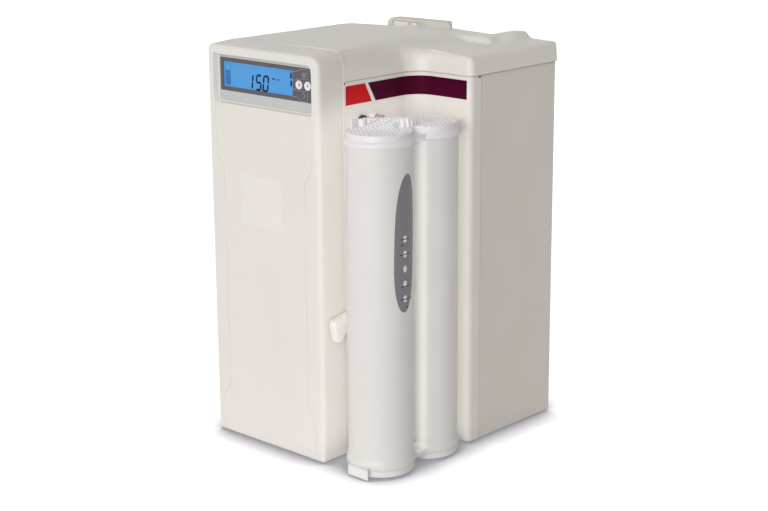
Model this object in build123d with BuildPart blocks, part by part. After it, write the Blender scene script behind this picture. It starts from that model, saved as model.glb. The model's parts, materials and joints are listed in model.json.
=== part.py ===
from build123d import *
import os

# Laboratory water purifier for the bench. A narrow front block carries the display, a wider block
# stands behind it, and a twin cartridge pack hangs in the recess between the two.
# Sizes are in millimetres. Places are measured from the cabinet's front left bottom corner,
# x to the right, y to the back and z up.

# Cabinet
front_block_width = 206.6
cabinet_width = 300.8
cabinet_depth = 366.8
plateau_height = 545.0
cover_height = 39.0
cover_seam_height = plateau_height - cover_height
wall = 3.0
front_seam_depth = 46.0
recess_corner_radius = 30.0
strip_corner_radius = 8.0
strip_depth = 21.5
seam_gap = 0.6
overrun = 5.0
shaft_clearance = 0.05
slide_clearance = 0.3

# Base, feet and inner frame
foot_height = 3.0
foot_radius = 11.0
foot_inset = 22.0
base_lift = 1.5
base_thickness = 3.0
base_top = base_lift + base_thickness
bulkhead_thickness = 2.0
bulkhead_drop = 6.0
bulkhead_height = cover_seam_height - bulkhead_drop
chassis_share = 0.542
chassis_x = chassis_share * front_block_width
chassis_thickness = 2.0
chassis_back_gap = 41.8
chassis_back = cabinet_depth - chassis_back_gap
chassis_drop = 16.0
chassis_height = cover_seam_height - chassis_drop

# Front cover
left_shoulder_radius = 8.0
right_shoulder_radius = 18.0
front_edge_radius = 8.0
window_left = 12.8
window_right_margin = 12.6
window_right = front_block_width - window_right_margin
window_drop = 15.5
window_height = 64.0
window_top = plateau_height - window_drop
window_bottom = window_top - window_height
window_radius = 5.0
tunnel_wall = 2.5
ledge_thickness = 2.0
ledge_width = 4.0
panel_depth = 1.0
panel_wide_margin = 12.8
panel_narrow_margin = 26.6
panel_rib = 2.0
panel_step_drop = 69.0
panel_step_run = 20.0
panel_upper_step_top = window_bottom - panel_step_drop
panel_upper_step_bottom = panel_upper_step_top - panel_step_run
panel_lower_step_bottom = 50.0
panel_lower_step_top = panel_lower_step_bottom + panel_step_run
boss_radius = 5.0
boss_margin = 14.0
boss_low = 30.0
boss_drop = 25.5
boss_high = window_bottom - boss_drop

# Front label
label_width = 81.0
label_shift = -3.8
label_left = (front_block_width - label_width) / 2 + label_shift
label_right = label_left + label_width
label_height = 69.0
label_drop = 91.5
label_top = window_bottom - label_drop
label_bottom = label_top - label_height
label_radius = 2.0
label_thickness = 0.4

# Display
bezel_depth = 9.0
bezel_thickness = 3.0
bezel_clearance = 0.4
mask_thickness = 1.0
mask_margin = 2.0
mask_rise = 14.9
mask_bottom = window_bottom + mask_rise
mask_drop = 4.7
mask_top = window_top - mask_drop
screen_left_inset = 8.0
screen_left = window_left + screen_left_inset
screen_right_inset = 41.7
screen_right = window_right - screen_right_inset
screen_inset = 5.5
screen_bottom = mask_bottom + screen_inset
screen_top = mask_top - screen_inset
screen_border = 1.5
screen_clearance = 0.2
screen_thickness = 5.0
board_thickness = 1.6
board_margin = 3.0
post_radius = 2.0
post_inset = 6.4

# Push buttons
button_inset = 30.0
button_x = window_right - button_inset
button_pitch = 15.7
button_rise = 21.7
button_height = mask_bottom + button_rise
button_radius = 5.9
button_proud = 1.0
button_dish_radius = 3.4
button_dish_depth = 0.5
button_flange_radius = 7.2
button_flange_thickness = 1.0
button_rest_gap = 0.3
button_travel = 0.8
switch_size = 6.0
switch_gap = 0.1

# Top cover
cover_side_overhang = 0.8
cover_back_overhang = 4.2
cover_edge_radius = 8.0
shoulder_before = 21.6
shoulder_start = front_block_width - shoulder_before
shoulder_after = 25.4
shoulder_end = front_block_width + shoulder_after
shelf_drop = 12.0
shelf_height = plateau_height - shelf_drop
shelf_fall = 2.5
shelf_edge_height = shelf_height - shelf_fall
ramp_length = 113.0
ramp_start = cabinet_depth + cover_back_overhang - ramp_length
ramp_drop = 15.0
ramp_end_height = plateau_height - ramp_drop
hump_side_gap = 27.8
hump_width = 83.0
hump_right = cabinet_width - hump_side_gap
hump_left = hump_right - hump_width
hump_fall_width = 30.0
hump_peak = hump_right - hump_fall_width
hump_rise = 13.0
hump_height = shelf_edge_height + hump_rise
hump_back_gap = 4.8
hump_length = 73.0
hump_back = cabinet_depth - hump_back_gap
hump_front = hump_back - hump_length
hump_slope = 13.0
slope_stretch = 1.5  # the sloped cut runs on past the pad's top

# Rear handle
handle_left = 3.0
handle_right = 127.0
handle_back_gap = 0.8
handle_depth = 21.0
handle_back = cabinet_depth - handle_back_gap
handle_front = handle_back - handle_depth
handle_rise = 2.0
handle_height = plateau_height + handle_rise
handle_corner_radius = 7.0
handle_edge_radius = 2.5
pocket_left = 9.0
pocket_right = 86.0
pocket_depth = 15.0
pocket_roof = 3.5
pocket_rib = 3.0

# Coloured stripes on the recess wall
stripe_drop = 6.6
stripe_height = 25.0
stripe_top = cover_seam_height - stripe_drop
stripe_bottom = stripe_top - stripe_height
stripe_thickness = 0.3
stripe_red_front = 50.0
stripe_red_length = 36.0
stripe_red_slant = 12.9
stripe_red_top_end = stripe_red_front + stripe_red_length
stripe_red_bottom_end = stripe_red_top_end + stripe_red_slant
stripe_gap = 6.0
stripe_plum_slant = 14.0
stripe_plum_top_start = stripe_red_top_end + stripe_gap
stripe_plum_bottom_start = stripe_plum_top_start + stripe_plum_slant
stripe_end_gap = 6.8
stripe_plum_end = cabinet_width - stripe_end_gap

# Twin cartridge pack
pack_tube_radius = 43.5
pack_tube_gap = 0.6
pack_collar_lip = 2.8
pack_collar_radius = pack_tube_radius + pack_collar_lip
pack_wall_gap = 16.4
pack_front_reach = 1.3
pack_back_gap = 7.6
pack_axis_x = front_block_width + pack_wall_gap + pack_collar_radius
pack_first_y = pack_collar_radius - pack_front_reach
pack_pitch = 2 * pack_tube_radius + pack_tube_gap
pack_tube_wall = 2.5
pack_drop = 71.3
pack_collar_base = cover_seam_height - pack_drop
pack_collar_height = 8.3
pack_neck_step = 1.1
pack_neck_radius = pack_tube_radius - pack_neck_step
pack_neck_height = 8.6
pack_ring_lip = 1.0
pack_ring_radius = pack_tube_radius + pack_ring_lip
pack_ring_height = 12.0
pack_flare_height = 5.0
pack_seat_depth = 6.0
pack_waist_width = 36.0
pack_media_clearance = 1.0
pack_media_drop = 14.7
pack_media_top = pack_collar_base - pack_media_drop
lug_offset = 24.7
lug_thickness = 6.5
lug_inner_x = pack_axis_x + lug_offset
lug_outer_x = lug_inner_x + lug_thickness
lug_length = 24.0
lug_height = 10.0
lug_rise = 2.0
tab_reach = 7.0
tab_width = 34.0
tab_shift = 5.7
tab_middle = pack_axis_x + tab_shift
tab_left = tab_middle - tab_width / 2
tab_right = tab_middle + tab_width / 2
tab_thickness = 3.5
tab_height = 11.0
tab_web_width = 18.0
grip_label_angle = -2.5
grip_label_width = 31.0
grip_label_drop = 32.7
grip_label_height = 181.0
grip_label_top = pack_collar_base - grip_label_drop
grip_label_bottom = grip_label_top - grip_label_height
grip_label_thickness = 0.3
tongue_width = 10.0
tongue_bottom = 3.0
tongue_top = 11.0
tongue_tip_gap = 2.0
bracket_width = 22.0
bracket_height = 16.0
bracket_reach = 14.0
bracket_back = 3.4

# Water ports between the pack and the cabinet
socket_offset = 34.6
socket_y = pack_first_y + socket_offset
socket_rise = 8.8
socket_z = pack_collar_base + pack_collar_height + socket_rise
socket_flange_radius = 7.0
socket_flange_thickness = 4.0
socket_radius = 6.2
socket_depth = 12.0
nozzle_radius = 4.2
nozzle_bore_radius = 2.0
nozzle_seat = 6.0
nozzle_tip_gap = 2.0
o_ring_section = 0.9
o_ring_pitch = 4.0
housing_gap = 19.4
housing_x = front_block_width + housing_gap
housing_length = 18.0
housing_width = 17.0
housing_cover = 6.7
housing_top = socket_z + housing_cover
spare_offset = 17.4
spare_y = socket_y + spare_offset
spare_rise = 1.6
spare_z = socket_z + spare_rise
spare_radius = 6.2
spare_reach = 11.0
spare_shank_radius = 5.0
spare_shank_depth = 8.0
plug_stem_radius = 4.0
plug_stem_length = 7.0
plug_head_radius = 5.5
plug_head_length = 8.5
plug_gap = 0.1
plug_slot_width = 1.6
plug_slot_depth = 1.5
manifold_thickness = 20.0
manifold_margin = 15.0
manifold_front = socket_y - manifold_margin
manifold_back = spare_y + manifold_margin
manifold_bottom = socket_z - manifold_margin
manifold_top = spare_z + manifold_margin

# Side lever
lever_pivot_y = 66.0
lever_pivot_z = 216.0
lever_hub_radius = 15.0
lever_end_forward = 44.5
lever_end_y = lever_pivot_y - lever_end_forward
lever_end_drop = 35.5
lever_end_z = lever_pivot_z - lever_end_drop
lever_end_radius = 16.0
lever_thickness = 10.0
lever_gap = 0.6
lever_edge_radius = 2.0
lever_pin_radius = 5.0
lever_pin_head_radius = 8.0
lever_pin_head = 1.5
lever_pin_nut = 5.0

# Pump
pump_share = 0.518
pump_x = pump_share * chassis_x
pump_front = 66.0
pump_head_length = 44.0
pump_head_size = 56.0
pump_head_radius = 6.0
pump_motor_radius = 30.0
mount_radius = 7.0
mount_height = 12.0
mount_inset = 9.0
cradle_thickness = 2.5
cradle_width = 60.0
cradle_margin = 10.0
saddle_length = 10.0
saddle_height = 20.0
saddle_width = 46.0

# Reverse osmosis stage
ro_gap = 6.0
ro_back_gap = 55.0
ro_y = chassis_back - ro_back_gap
ro_radius = 34.0
ro_wall = 4.0
ro_bottom = 90.0
ro_drop = 90.0
ro_top = chassis_height - ro_drop
ro_cap_radius = 36.0
ro_cap_height = 25.0
ro_cap_lap = 5.0
ro_membrane_radius = 26.0
ro_stub_radius = 5.0
ro_stub_offset = 26.0
ro_stub_length = 44.0
ro_stub_front = ro_y - ro_stub_length
clip_thickness = 3.0
clip_height = 16.0
ro_clip_margin = 60.0
ro_clip_low = ro_bottom + ro_clip_margin
ro_clip_high = ro_top - ro_clip_margin
ro_pump_gap = 19.0

# Electric deionising stage
edi_gap = 2.0
edi_front = 66.0
edi_back = 174.0
edi_bottom = 52.0
edi_top = 268.0
edi_plate_thickness = 10.0
edi_stack_thickness = 40.0
edi_stack_inset = 9.0
edi_rod_radius = 3.0
edi_rod_inset = 4.5
edi_nut_radius = 4.2
edi_nut_length = 5.0
edi_port_y = 120.0
edi_port_z = 240.0
grommet_radius = 6.0

# Ultraviolet stage
uv_side_gap = 45.8
uv_x = cabinet_width - uv_side_gap
uv_gap = 10.0
uv_radius = 16.0
uv_wall = 1.5
uv_bottom = 90.0
uv_top = 340.0
uv_cap_radius = 18.0
uv_cap_height = 15.0
uv_cap_lap = 4.0
uv_lamp_radius = 8.0
uv_clip_margin = 45.0
uv_clip_low = uv_bottom + uv_clip_margin
uv_clip_high = uv_top - uv_clip_margin

# Electrics
supply_width = 50.0
supply_edi_gap = 31.0
supply_front = edi_back + supply_edi_gap
supply_back_gap = 5.0
supply_back = chassis_back - supply_back_gap
supply_bottom = 20.0
supply_top = 130.0
supply_vent_count = 9
supply_vent_width = 3.0
supply_vent_margin = 15.0
supply_vent_depth = 2.0
control_edi_gap = 26.0
control_front = edi_back + control_edi_gap
control_back = supply_back
control_drop = 20.0
control_height = 170.0
control_top = chassis_height - control_drop
control_bottom = control_top - control_height
control_standoff = 8.0
control_standoff_radius = 3.0
control_standoff_inset = 7.0
relay_size = 18.0
relay_height = 15.0
relay_pitch = 26.0
relay_count = 4
heat_sink_width = 40.0
heat_sink_height = 20.0

# Tubing
hose_radius = 3.0
hose_chassis_gap = 10.0
hose_side_x = chassis_x - hose_chassis_gap
hose_side_z = 50.0
hose_port_y = 88.0
hose_arch = 60.0
pump_hose_height = ro_top + hose_arch
pump_hose_bend = 25.0
feed_bend_share = 0.75
permeate_hose_z = 77.5
permeate_bend = 14.0

# Rear panel fittings
fitting_reach = 18.0
fitting_hex_radius = 9.5
fitting_hex_thickness = 6.0
fitting_collet_radius = 6.6
fitting_shank_radius = 7.0
fitting_bore_radius = 4.05
fitting_bore_depth = 15.0
fitting_z = 50.0
product_offset = 68.0
fitting_product_x = hose_side_x + product_offset
drain_offset = 108.0
fitting_drain_x = hose_side_x + drain_offset
valve_size = 24.0
valve_length = 24.8
coil_width = 26.0
coil_length = 23.0
coil_height = 35.0
inlet_offset = 42.0
inlet_x = hose_side_x - inlet_offset
inlet_z = 75.0
inlet_flange_width = 32.0
inlet_flange_height = 66.0
inlet_flange_thickness = 2.0
inlet_body_width = 28.0
inlet_body_height = 58.0
inlet_body_depth = 32.0
inlet_socket_width = 24.0
inlet_socket_height = 18.0
inlet_socket_depth = 18.0
inlet_socket_drop = 15.0
inlet_corner = 3.0
pin_width = 2.0
pin_height = 4.0
pin_length = 13.0
pin_pitch = 7.0
pin_rise = 3.0
rocker_rise = 14.0
rocker_radius = 9.0
rocker_width = 14.0
rocker_sink = 5.0
rocker_face = 7.2
rocker_tilt_share = 0.25
rocker_pivot_radius = 1.5
rocker_pivot_length = 1.5
vent_width = 70.0
vent_height = 5.0
vent_pitch = 16.0
vent_count = 7
vent_drop = 66.0
vent_top = cover_seam_height - vent_drop
vent_first_x = inlet_x + inlet_flange_width
vent_second_x = fitting_drain_x
screw_head_radius = 3.5
screw_head_thickness = 2.0
screw_shank_radius = 1.5
screw_inset = 9.0
screw_low = 16.0
screw_high = cover_seam_height - screw_low
screw_mid = (screw_low + screw_high) / 2

# Origin: the middle of the whole object's footprint, on the bench
overall_width = pack_axis_x + pack_collar_radius
left = -overall_width / 2
front = (tab_reach - cabinet_depth - fitting_reach) / 2

# Places worked out from the sizes above
frame_front = front_seam_depth + seam_gap
recess_depth = pack_first_y + pack_pitch + pack_collar_radius + pack_back_gap
strip_end = recess_depth + strip_depth
cover_right = cabinet_width + cover_side_overhang
cover_back = cabinet_depth + cover_back_overhang
bezel_back = bezel_depth + bezel_thickness
tunnel_back = bezel_back + ledge_thickness
mask_back = bezel_depth + mask_thickness
board_depth = mask_back + screen_thickness
pack_axes = [(pack_axis_x, pack_first_y), (pack_axis_x, pack_first_y + pack_pitch)]
pack_middle_y = pack_first_y + pack_pitch / 2
pack_bottom_seat = pack_ring_height + pack_flare_height - pack_seat_depth
pack_top_seat = pack_collar_base + pack_seat_depth
pack_neck_base = pack_collar_base + pack_collar_height
pack_top = pack_neck_base + pack_neck_height
inner_wall_x = front_block_width - wall
chassis_right = chassis_x + chassis_thickness
rear_inside = cabinet_depth - wall
pump_bottom = base_top + mount_height + cradle_thickness
chassis_flange_left = pump_x + cradle_width / 2
pump_z = pump_bottom + pump_motor_radius
pump_back = ro_y - ro_cap_radius - ro_pump_gap
pump_motor_length = pump_back - pump_front - pump_head_length
ro_x = chassis_x - ro_gap - ro_radius
permeate_hose_x = ro_x + ro_stub_offset
pump_hose_x = ro_x
uv_y = rear_inside - uv_gap - uv_radius
edi_left = chassis_right + edi_gap
edi_right = edi_left + 2 * edi_plate_thickness + edi_stack_thickness
rocker_z = inlet_z + rocker_rise
rocker_y = cabinet_depth + inlet_flange_thickness - rocker_sink
inlet_socket_z = inlet_z - inlet_socket_drop

os.makedirs("parts", exist_ok=True)


def level(height):
    """Horizontal plane at a height above the cabinet's underside."""
    return Plane(origin=(left, front, foot_height + height), x_dir=(1, 0, 0), z_dir=(0, 0, 1))


def upright(depth):
    """Plane parallel to the front that faces the front: its x is right and its y is up."""
    return Plane(origin=(left, front + depth, foot_height), x_dir=(1, 0, 0), z_dir=(0, -1, 0))


def sideways(across):
    """Plane parallel to the sides that faces right: its x is back and its y is up."""
    return Plane(origin=(left + across, front, foot_height), x_dir=(0, 1, 0), z_dir=(1, 0, 0))


def area(low, high, mode=Mode.ADD):
    """Rectangle between two corners, in the open sketch."""
    with Locations(((low[0] + high[0]) / 2, (low[1] + high[1]) / 2)):
        Rectangle(high[0] - low[0], high[1] - low[1], mode=mode)


def rounded_area(low, high, radius):
    """Rectangle between two corners with round corners, in the open sketch."""
    with Locations(((low[0] + high[0]) / 2, (low[1] + high[1]) / 2)):
        RectangleRounded(high[0] - low[0], high[1] - low[1], radius)


def block(low, high, mode=Mode.ADD):
    """Box between two corners, in the open part."""
    with BuildSketch(level(low[2])) as outline:
        area(low, high)
    extrude(outline.sketch, amount=high[2] - low[2], mode=mode)


def drum(plane, places, radius, length, mode=Mode.ADD):
    """Round bars that stand on a plane, in the open part."""
    with BuildSketch(plane) as outline:
        with Locations(*places):
            Circle(radius)
    extrude(outline.sketch, amount=length, mode=mode)


def save(piece, name):
    """Label a finished piece and write it."""
    piece.part.label = name
    export_step(piece.part, f"parts/{name}.step")


def ramp_at(depth):
    """Height of the lid's back ramp."""
    fall = (plateau_height - ramp_end_height) / (cover_back - ramp_start)
    return plateau_height - fall * (depth - ramp_start)


def cabinet_plan(inset, front_line, right_line, back_line):
    """L-shaped outline of the cabinet seen from above, drawn in by an inset."""
    notch = (front_block_width - inset, recess_depth + inset)
    corner = (right_line - inset, recess_depth + inset)
    with BuildSketch() as plan:
        with BuildLine():
            Polyline(
                (inset, front_line),
                (notch[0], front_line),
                notch,
                corner,
                (right_line - inset, back_line - inset),
                (inset, back_line - inset),
                close=True,
            )
        make_face()
        fillet(plan.vertices().sort_by_distance(notch)[0], recess_corner_radius + inset)
        fillet(plan.vertices().sort_by_distance(corner)[0], strip_corner_radius - inset)
    return plan.sketch


# Front cover: a shell open at the back, with a tunnel behind the display window
with BuildPart() as front_cover:
    with BuildSketch(upright(front_seam_depth)) as front_shape:
        area((0, 0), (front_block_width, plateau_height))
        top_corners = front_shape.vertices().group_by(Axis.Y)[-1].sort_by(Axis.X)
        fillet(top_corners[0], left_shoulder_radius)
        top_corners = front_shape.vertices().group_by(Axis.Y)[-1].sort_by(Axis.X)
        fillet(top_corners[-1], right_shoulder_radius)
    extrude(amount=front_seam_depth)
    front_edges = front_cover.faces().sort_by(Axis.Y)[0].edges().sort_by(Axis.Z)[1:]
    fillet(front_edges, front_edge_radius)
    offset(amount=-wall, openings=front_cover.faces().sort_by(Axis.Y)[-1])
    with BuildSketch(upright(tunnel_back)):
        rounded_area(
            (window_left - tunnel_wall, window_bottom - tunnel_wall),
            (window_right + tunnel_wall, window_top + tunnel_wall),
            window_radius + tunnel_wall,
        )
    extrude(amount=tunnel_back - wall / 2)
    with BuildSketch(upright(bezel_back)):
        rounded_area((window_left, window_bottom), (window_right, window_top), window_radius)
    extrude(amount=bezel_back + overrun, mode=Mode.SUBTRACT)
    with BuildSketch(upright(tunnel_back)):
        area(
            (window_left + ledge_width, window_bottom + ledge_width),
            (window_right - ledge_width, window_top - ledge_width),
        )
    extrude(amount=ledge_thickness, mode=Mode.SUBTRACT)
    with BuildSketch(upright(panel_depth)):
        with BuildLine():
            panel_right_wide = front_block_width - panel_wide_margin
            panel_right_narrow = front_block_width - panel_narrow_margin
            Polyline(
                (panel_wide_margin, window_bottom - panel_rib),
                (panel_wide_margin, panel_upper_step_top),
                (panel_narrow_margin, panel_upper_step_bottom),
                (panel_narrow_margin, panel_lower_step_top),
                (panel_wide_margin, panel_lower_step_bottom),
                (panel_wide_margin, -overrun),
                (panel_right_wide, -overrun),
                (panel_right_wide, panel_lower_step_bottom),
                (panel_right_narrow, panel_lower_step_top),
                (panel_right_narrow, panel_upper_step_bottom),
                (panel_right_wide, panel_upper_step_top),
                (panel_right_wide, window_bottom - panel_rib),
                close=True,
            )
        make_face()
    extrude(amount=panel_depth + overrun, mode=Mode.SUBTRACT)
    boss_places = [
        (boss_margin, boss_low),
        (boss_margin, boss_high),
        (front_block_width - boss_margin, boss_low),
        (front_block_width - boss_margin, boss_high),
    ]
    drum(upright(frame_front), boss_places, boss_radius, frame_front - wall)
save(front_cover, "front_cover")

# Front label: a plain white square in the shallow panel
with BuildPart() as front_label:
    with BuildSketch(upright(panel_depth)):
        rounded_area((label_left, label_bottom), (label_right, label_top), label_radius)
    extrude(amount=label_thickness)
save(front_label, "front_label")

# Display bezel: a plate with a sunk bed for the mask, a hole for the screen and board posts
button_places = [(button_x, button_height), (button_x + button_pitch, button_height)]
with BuildPart() as display_bezel:
    with BuildSketch(upright(bezel_back)):
        rounded_area(
            (window_left + bezel_clearance, window_bottom + bezel_clearance),
            (window_right - bezel_clearance, window_top - bezel_clearance),
            window_radius - bezel_clearance,
        )
    extrude(amount=bezel_thickness)
    with BuildSketch(upright(mask_back)):
        area((window_left + mask_margin, mask_bottom), (window_right - mask_margin, mask_top))
    extrude(amount=mask_thickness, mode=Mode.SUBTRACT)
    screen_hole = screen_border + screen_clearance
    with BuildSketch(upright(bezel_back)):
        area(
            (screen_left - screen_hole, screen_bottom - screen_hole),
            (screen_right + screen_hole, screen_top + screen_hole),
        )
    extrude(amount=bezel_thickness, mode=Mode.SUBTRACT)
    drum(upright(bezel_back), button_places, button_radius + slide_clearance, bezel_thickness, Mode.SUBTRACT)
    post_places = [
        (window_left + post_inset, window_bottom + post_inset),
        (window_left + post_inset, window_top - post_inset),
        (window_right - post_inset, window_bottom + post_inset),
        (window_right - post_inset, window_top - post_inset),
    ]
    drum(upright(board_depth), post_places, post_radius, board_depth - bezel_back)
save(display_bezel, "display_bezel")

# Display mask: printed sheet with the screen window and two button holes
with BuildPart() as display_mask:
    with BuildSketch(upright(mask_back)):
        area((window_left + mask_margin, mask_bottom), (window_right - mask_margin, mask_top))
        area((screen_left, screen_bottom), (screen_right, screen_top), Mode.SUBTRACT)
        with Locations(*button_places):
            Circle(button_radius + slide_clearance, mode=Mode.SUBTRACT)
    extrude(amount=mask_thickness)
save(display_mask, "display_mask")

# Screen module between the mask and the board
with BuildPart() as lcd_module:
    with BuildSketch(upright(board_depth)):
        area(
            (screen_left - screen_border, screen_bottom - screen_border),
            (screen_right + screen_border, screen_top + screen_border),
        )
    extrude(amount=screen_thickness)
save(lcd_module, "lcd_module")

# Display board with a switch behind each button
switch_reach = bezel_back + button_rest_gap + button_flange_thickness + button_travel + switch_gap
with BuildPart() as display_board:
    with BuildSketch(upright(board_depth + board_thickness)):
        area(
            (window_left + board_margin, window_bottom + board_margin),
            (window_right - board_margin, window_top - board_margin),
        )
    extrude(amount=board_thickness)
    with BuildSketch(upright(board_depth)):
        with Locations(*button_places):
            Rectangle(switch_size, switch_size)
    extrude(amount=board_depth - switch_reach)
save(display_board, "display_board")


def push_button(place):
    """Round cap with a dished face and a flange that keeps it behind the bezel."""
    flange_front = bezel_back + button_rest_gap
    with BuildPart() as button:
        drum(upright(flange_front), [place], button_radius, flange_front - bezel_depth + button_proud)
        drum(
            upright(flange_front + button_flange_thickness),
            [place],
            button_flange_radius,
            button_flange_thickness,
        )
        dish_floor = bezel_depth - button_proud + button_dish_depth
        drum(upright(dish_floor), [place], button_dish_radius, button_dish_depth, Mode.SUBTRACT)
    return button


button_left = push_button(button_places[0])
save(button_left, "button_left")
button_right = push_button(button_places[1])
save(button_right, "button_right")


def cover_body(inset, bottom):
    """The lid's outer form drawn in by an inset: plateau, shoulder, shelf and back ramp."""
    right_line = cover_right - inset
    top_line = plateau_height - inset
    shelf_line = shelf_height - inset
    shelf_edge_line = shelf_edge_height - inset
    edge_radius = cover_edge_radius - inset
    with BuildPart() as body:
        with BuildSketch(level(bottom)):
            add(cabinet_plan(inset, frame_front + inset, cover_right, cover_back))
        extrude(amount=top_line - bottom)
        left_rim = body.edges().filter_by(Axis.Y).group_by(Axis.Z)[-1].sort_by(Axis.X)[0]
        fillet(left_rim, edge_radius)
        with BuildSketch(upright(cover_back + overrun)):
            with BuildLine():
                Spline(
                    (shoulder_start, top_line),
                    (shoulder_end, shelf_line),
                    tangents=((1, 0), (right_line - shoulder_end, shelf_edge_line - shelf_line)),
                )
                Polyline(
                    (shoulder_end, shelf_line),
                    (right_line, shelf_edge_line),
                    (right_line + overrun, shelf_edge_line),
                    (right_line + overrun, plateau_height + overrun),
                    (shoulder_start, plateau_height + overrun),
                    (shoulder_start, top_line),
                )
            make_face()
        extrude(amount=cover_back + overrun, mode=Mode.SUBTRACT)
        with BuildSketch(sideways(-overrun)):
            with BuildLine():
                Polyline(
                    (ramp_start, top_line),
                    (cover_back, ramp_end_height - inset),
                    (cover_back + overrun, ramp_end_height - inset),
                    (cover_back + overrun, plateau_height + overrun),
                    (ramp_start, plateau_height + overrun),
                    close=True,
                )
            make_face()
        extrude(amount=cover_right + 2 * overrun, mode=Mode.SUBTRACT)
        right_rims = body.faces().sort_by(Axis.X)[-1].edges().sort_by(Axis.Z)[1:]
        right_rims = right_rims.filter_by(lambda rim: abs(rim.tangent_at(0).Y) > abs(rim.tangent_at(0).Z))
        fillet(right_rims, edge_radius)
    return body.part


def hump_body():
    """Raised pad at the back right of the lid, with a sloped front."""
    hump_base = shelf_edge_height - wall
    slope_end_height = shelf_edge_height + slope_stretch * (hump_height - shelf_edge_height)
    with BuildPart() as hump:
        with BuildSketch(upright(hump_back)):
            with BuildLine():
                Spline(
                    (hump_left, shelf_edge_height),
                    (hump_peak, hump_height),
                    tangents=((1, 0), (1, 0)),
                )
                Spline(
                    (hump_peak, hump_height),
                    (hump_right, shelf_edge_height),
                    tangents=((1, 0), (0, -1)),
                )
                Polyline(
                    (hump_right, shelf_edge_height),
                    (hump_right, hump_base),
                    (hump_left, hump_base),
                    (hump_left, shelf_edge_height),
                )
            make_face()
        extrude(amount=hump_back - hump_front)
        with BuildSketch(sideways(hump_left - overrun)):
            with BuildLine():
                Polyline(
                    (hump_front, shelf_edge_height),
                    (hump_front + slope_stretch * hump_slope, slope_end_height),
                    (hump_front - overrun, slope_end_height),
                    (hump_front - overrun, shelf_edge_height),
                    close=True,
                )
            make_face()
        extrude(amount=hump_right - hump_left + 2 * overrun, mode=Mode.SUBTRACT)
    return hump.part


# Top cover: lid with a plateau, a lower shelf at the right, a ramp and a hump at the back
cover_outside = cover_body(0, cover_seam_height)
cover_inside = cover_body(wall, cover_seam_height - overrun)
with BuildPart() as top_cover:
    add(cover_outside)
    add(hump_body())
    add(cover_inside, mode=Mode.SUBTRACT)
save(top_cover, "top_cover")

# Rear handle: a raised grip on the lid's ramp with a finger pocket from the front
with BuildPart() as rear_handle:
    with BuildSketch(sideways(handle_left)):
        with BuildLine():
            Polyline(
                (handle_front, ramp_at(handle_front)),
                (handle_back, ramp_at(handle_back)),
                (handle_back, handle_height),
                (handle_front, handle_height),
                close=True,
            )
        make_face()
    extrude(amount=handle_right - handle_left)
    end_corners = rear_handle.edges().filter_by(Axis.Y).group_by(Axis.Z)[-1]
    fillet(end_corners, handle_corner_radius)
    handle_rims = rear_handle.faces().sort_by(Axis.Z)[-1].edges().filter_by(Axis.X)
    fillet(handle_rims, handle_edge_radius)
    pocket_middle = (pocket_left + pocket_right) / 2
    pocket_floor = ramp_at(handle_back) - overrun
    pocket_spans = [
        (pocket_left, pocket_middle - pocket_rib / 2),
        (pocket_middle + pocket_rib / 2, pocket_right),
    ]
    for span in pocket_spans:
        block(
            (span[0], handle_front - overrun, pocket_floor),
            (span[1], handle_front + pocket_depth, handle_height - pocket_roof),
            Mode.SUBTRACT,
        )
save(rear_handle, "rear_handle")

# Recess wall: curved moulding from the front cover to the strip at the right
outer_plan = cabinet_plan(0, frame_front, cabinet_width, cabinet_depth)
inner_plan = cabinet_plan(wall, frame_front, cabinet_width, cabinet_depth)
with BuildPart() as recess_wall:
    with BuildSketch(level(0)):
        add(outer_plan)
        add(inner_plan, mode=Mode.SUBTRACT)
        area((inner_wall_x, frame_front), (cabinet_width, strip_end), Mode.INTERSECT)
    extrude(amount=cover_seam_height)
    drum(
        sideways(inner_wall_x),
        [(socket_y, socket_z)],
        socket_radius + shaft_clearance,
        wall,
        Mode.SUBTRACT,
    )
    drum(
        sideways(inner_wall_x),
        [(spare_y, spare_z)],
        spare_shank_radius + shaft_clearance,
        wall,
        Mode.SUBTRACT,
    )
    drum(
        sideways(inner_wall_x),
        [(lever_pivot_y, lever_pivot_z)],
        lever_pin_radius + shaft_clearance,
        wall,
        Mode.SUBTRACT,
    )
save(recess_wall, "recess_wall")

# Side panels
with BuildPart() as right_side_panel:
    block(
        (cabinet_width - wall, strip_end + seam_gap, 0),
        (cabinet_width, cabinet_depth, cover_seam_height),
    )
save(right_side_panel, "right_side_panel")

with BuildPart() as left_side_panel:
    block((0, frame_front, 0), (wall, cabinet_depth, cover_seam_height))
save(left_side_panel, "left_side_panel")

# Rear panel with holes for the inlet and the water fittings, vents and screw holes
fitting_places = [
    (hose_side_x, fitting_z),
    (fitting_product_x, fitting_z),
    (fitting_drain_x, fitting_z),
]
screw_places = [
    (across, height)
    for across in (screw_inset, cabinet_width - screw_inset)
    for height in (screw_low, screw_mid, screw_high)
]
with BuildPart() as rear_panel:
    block((wall, rear_inside, 0), (cabinet_width - wall, cabinet_depth, cover_seam_height))
    drum(
        upright(cabinet_depth),
        fitting_places,
        fitting_shank_radius + shaft_clearance,
        wall,
        Mode.SUBTRACT,
    )
    drum(upright(cabinet_depth), screw_places, screw_shank_radius, wall, Mode.SUBTRACT)
    with BuildSketch(upright(cabinet_depth)):
        with Locations((inlet_x, inlet_z)):
            Rectangle(inlet_body_width, inlet_body_height)
        for vent_row in range(vent_count):
            vent_z = vent_top - vent_row * vent_pitch
            with Locations((vent_first_x, vent_z), (vent_second_x, vent_z)):
                SlotOverall(vent_width, vent_height)
    extrude(amount=wall, mode=Mode.SUBTRACT)
save(rear_panel, "rear_panel")

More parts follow.
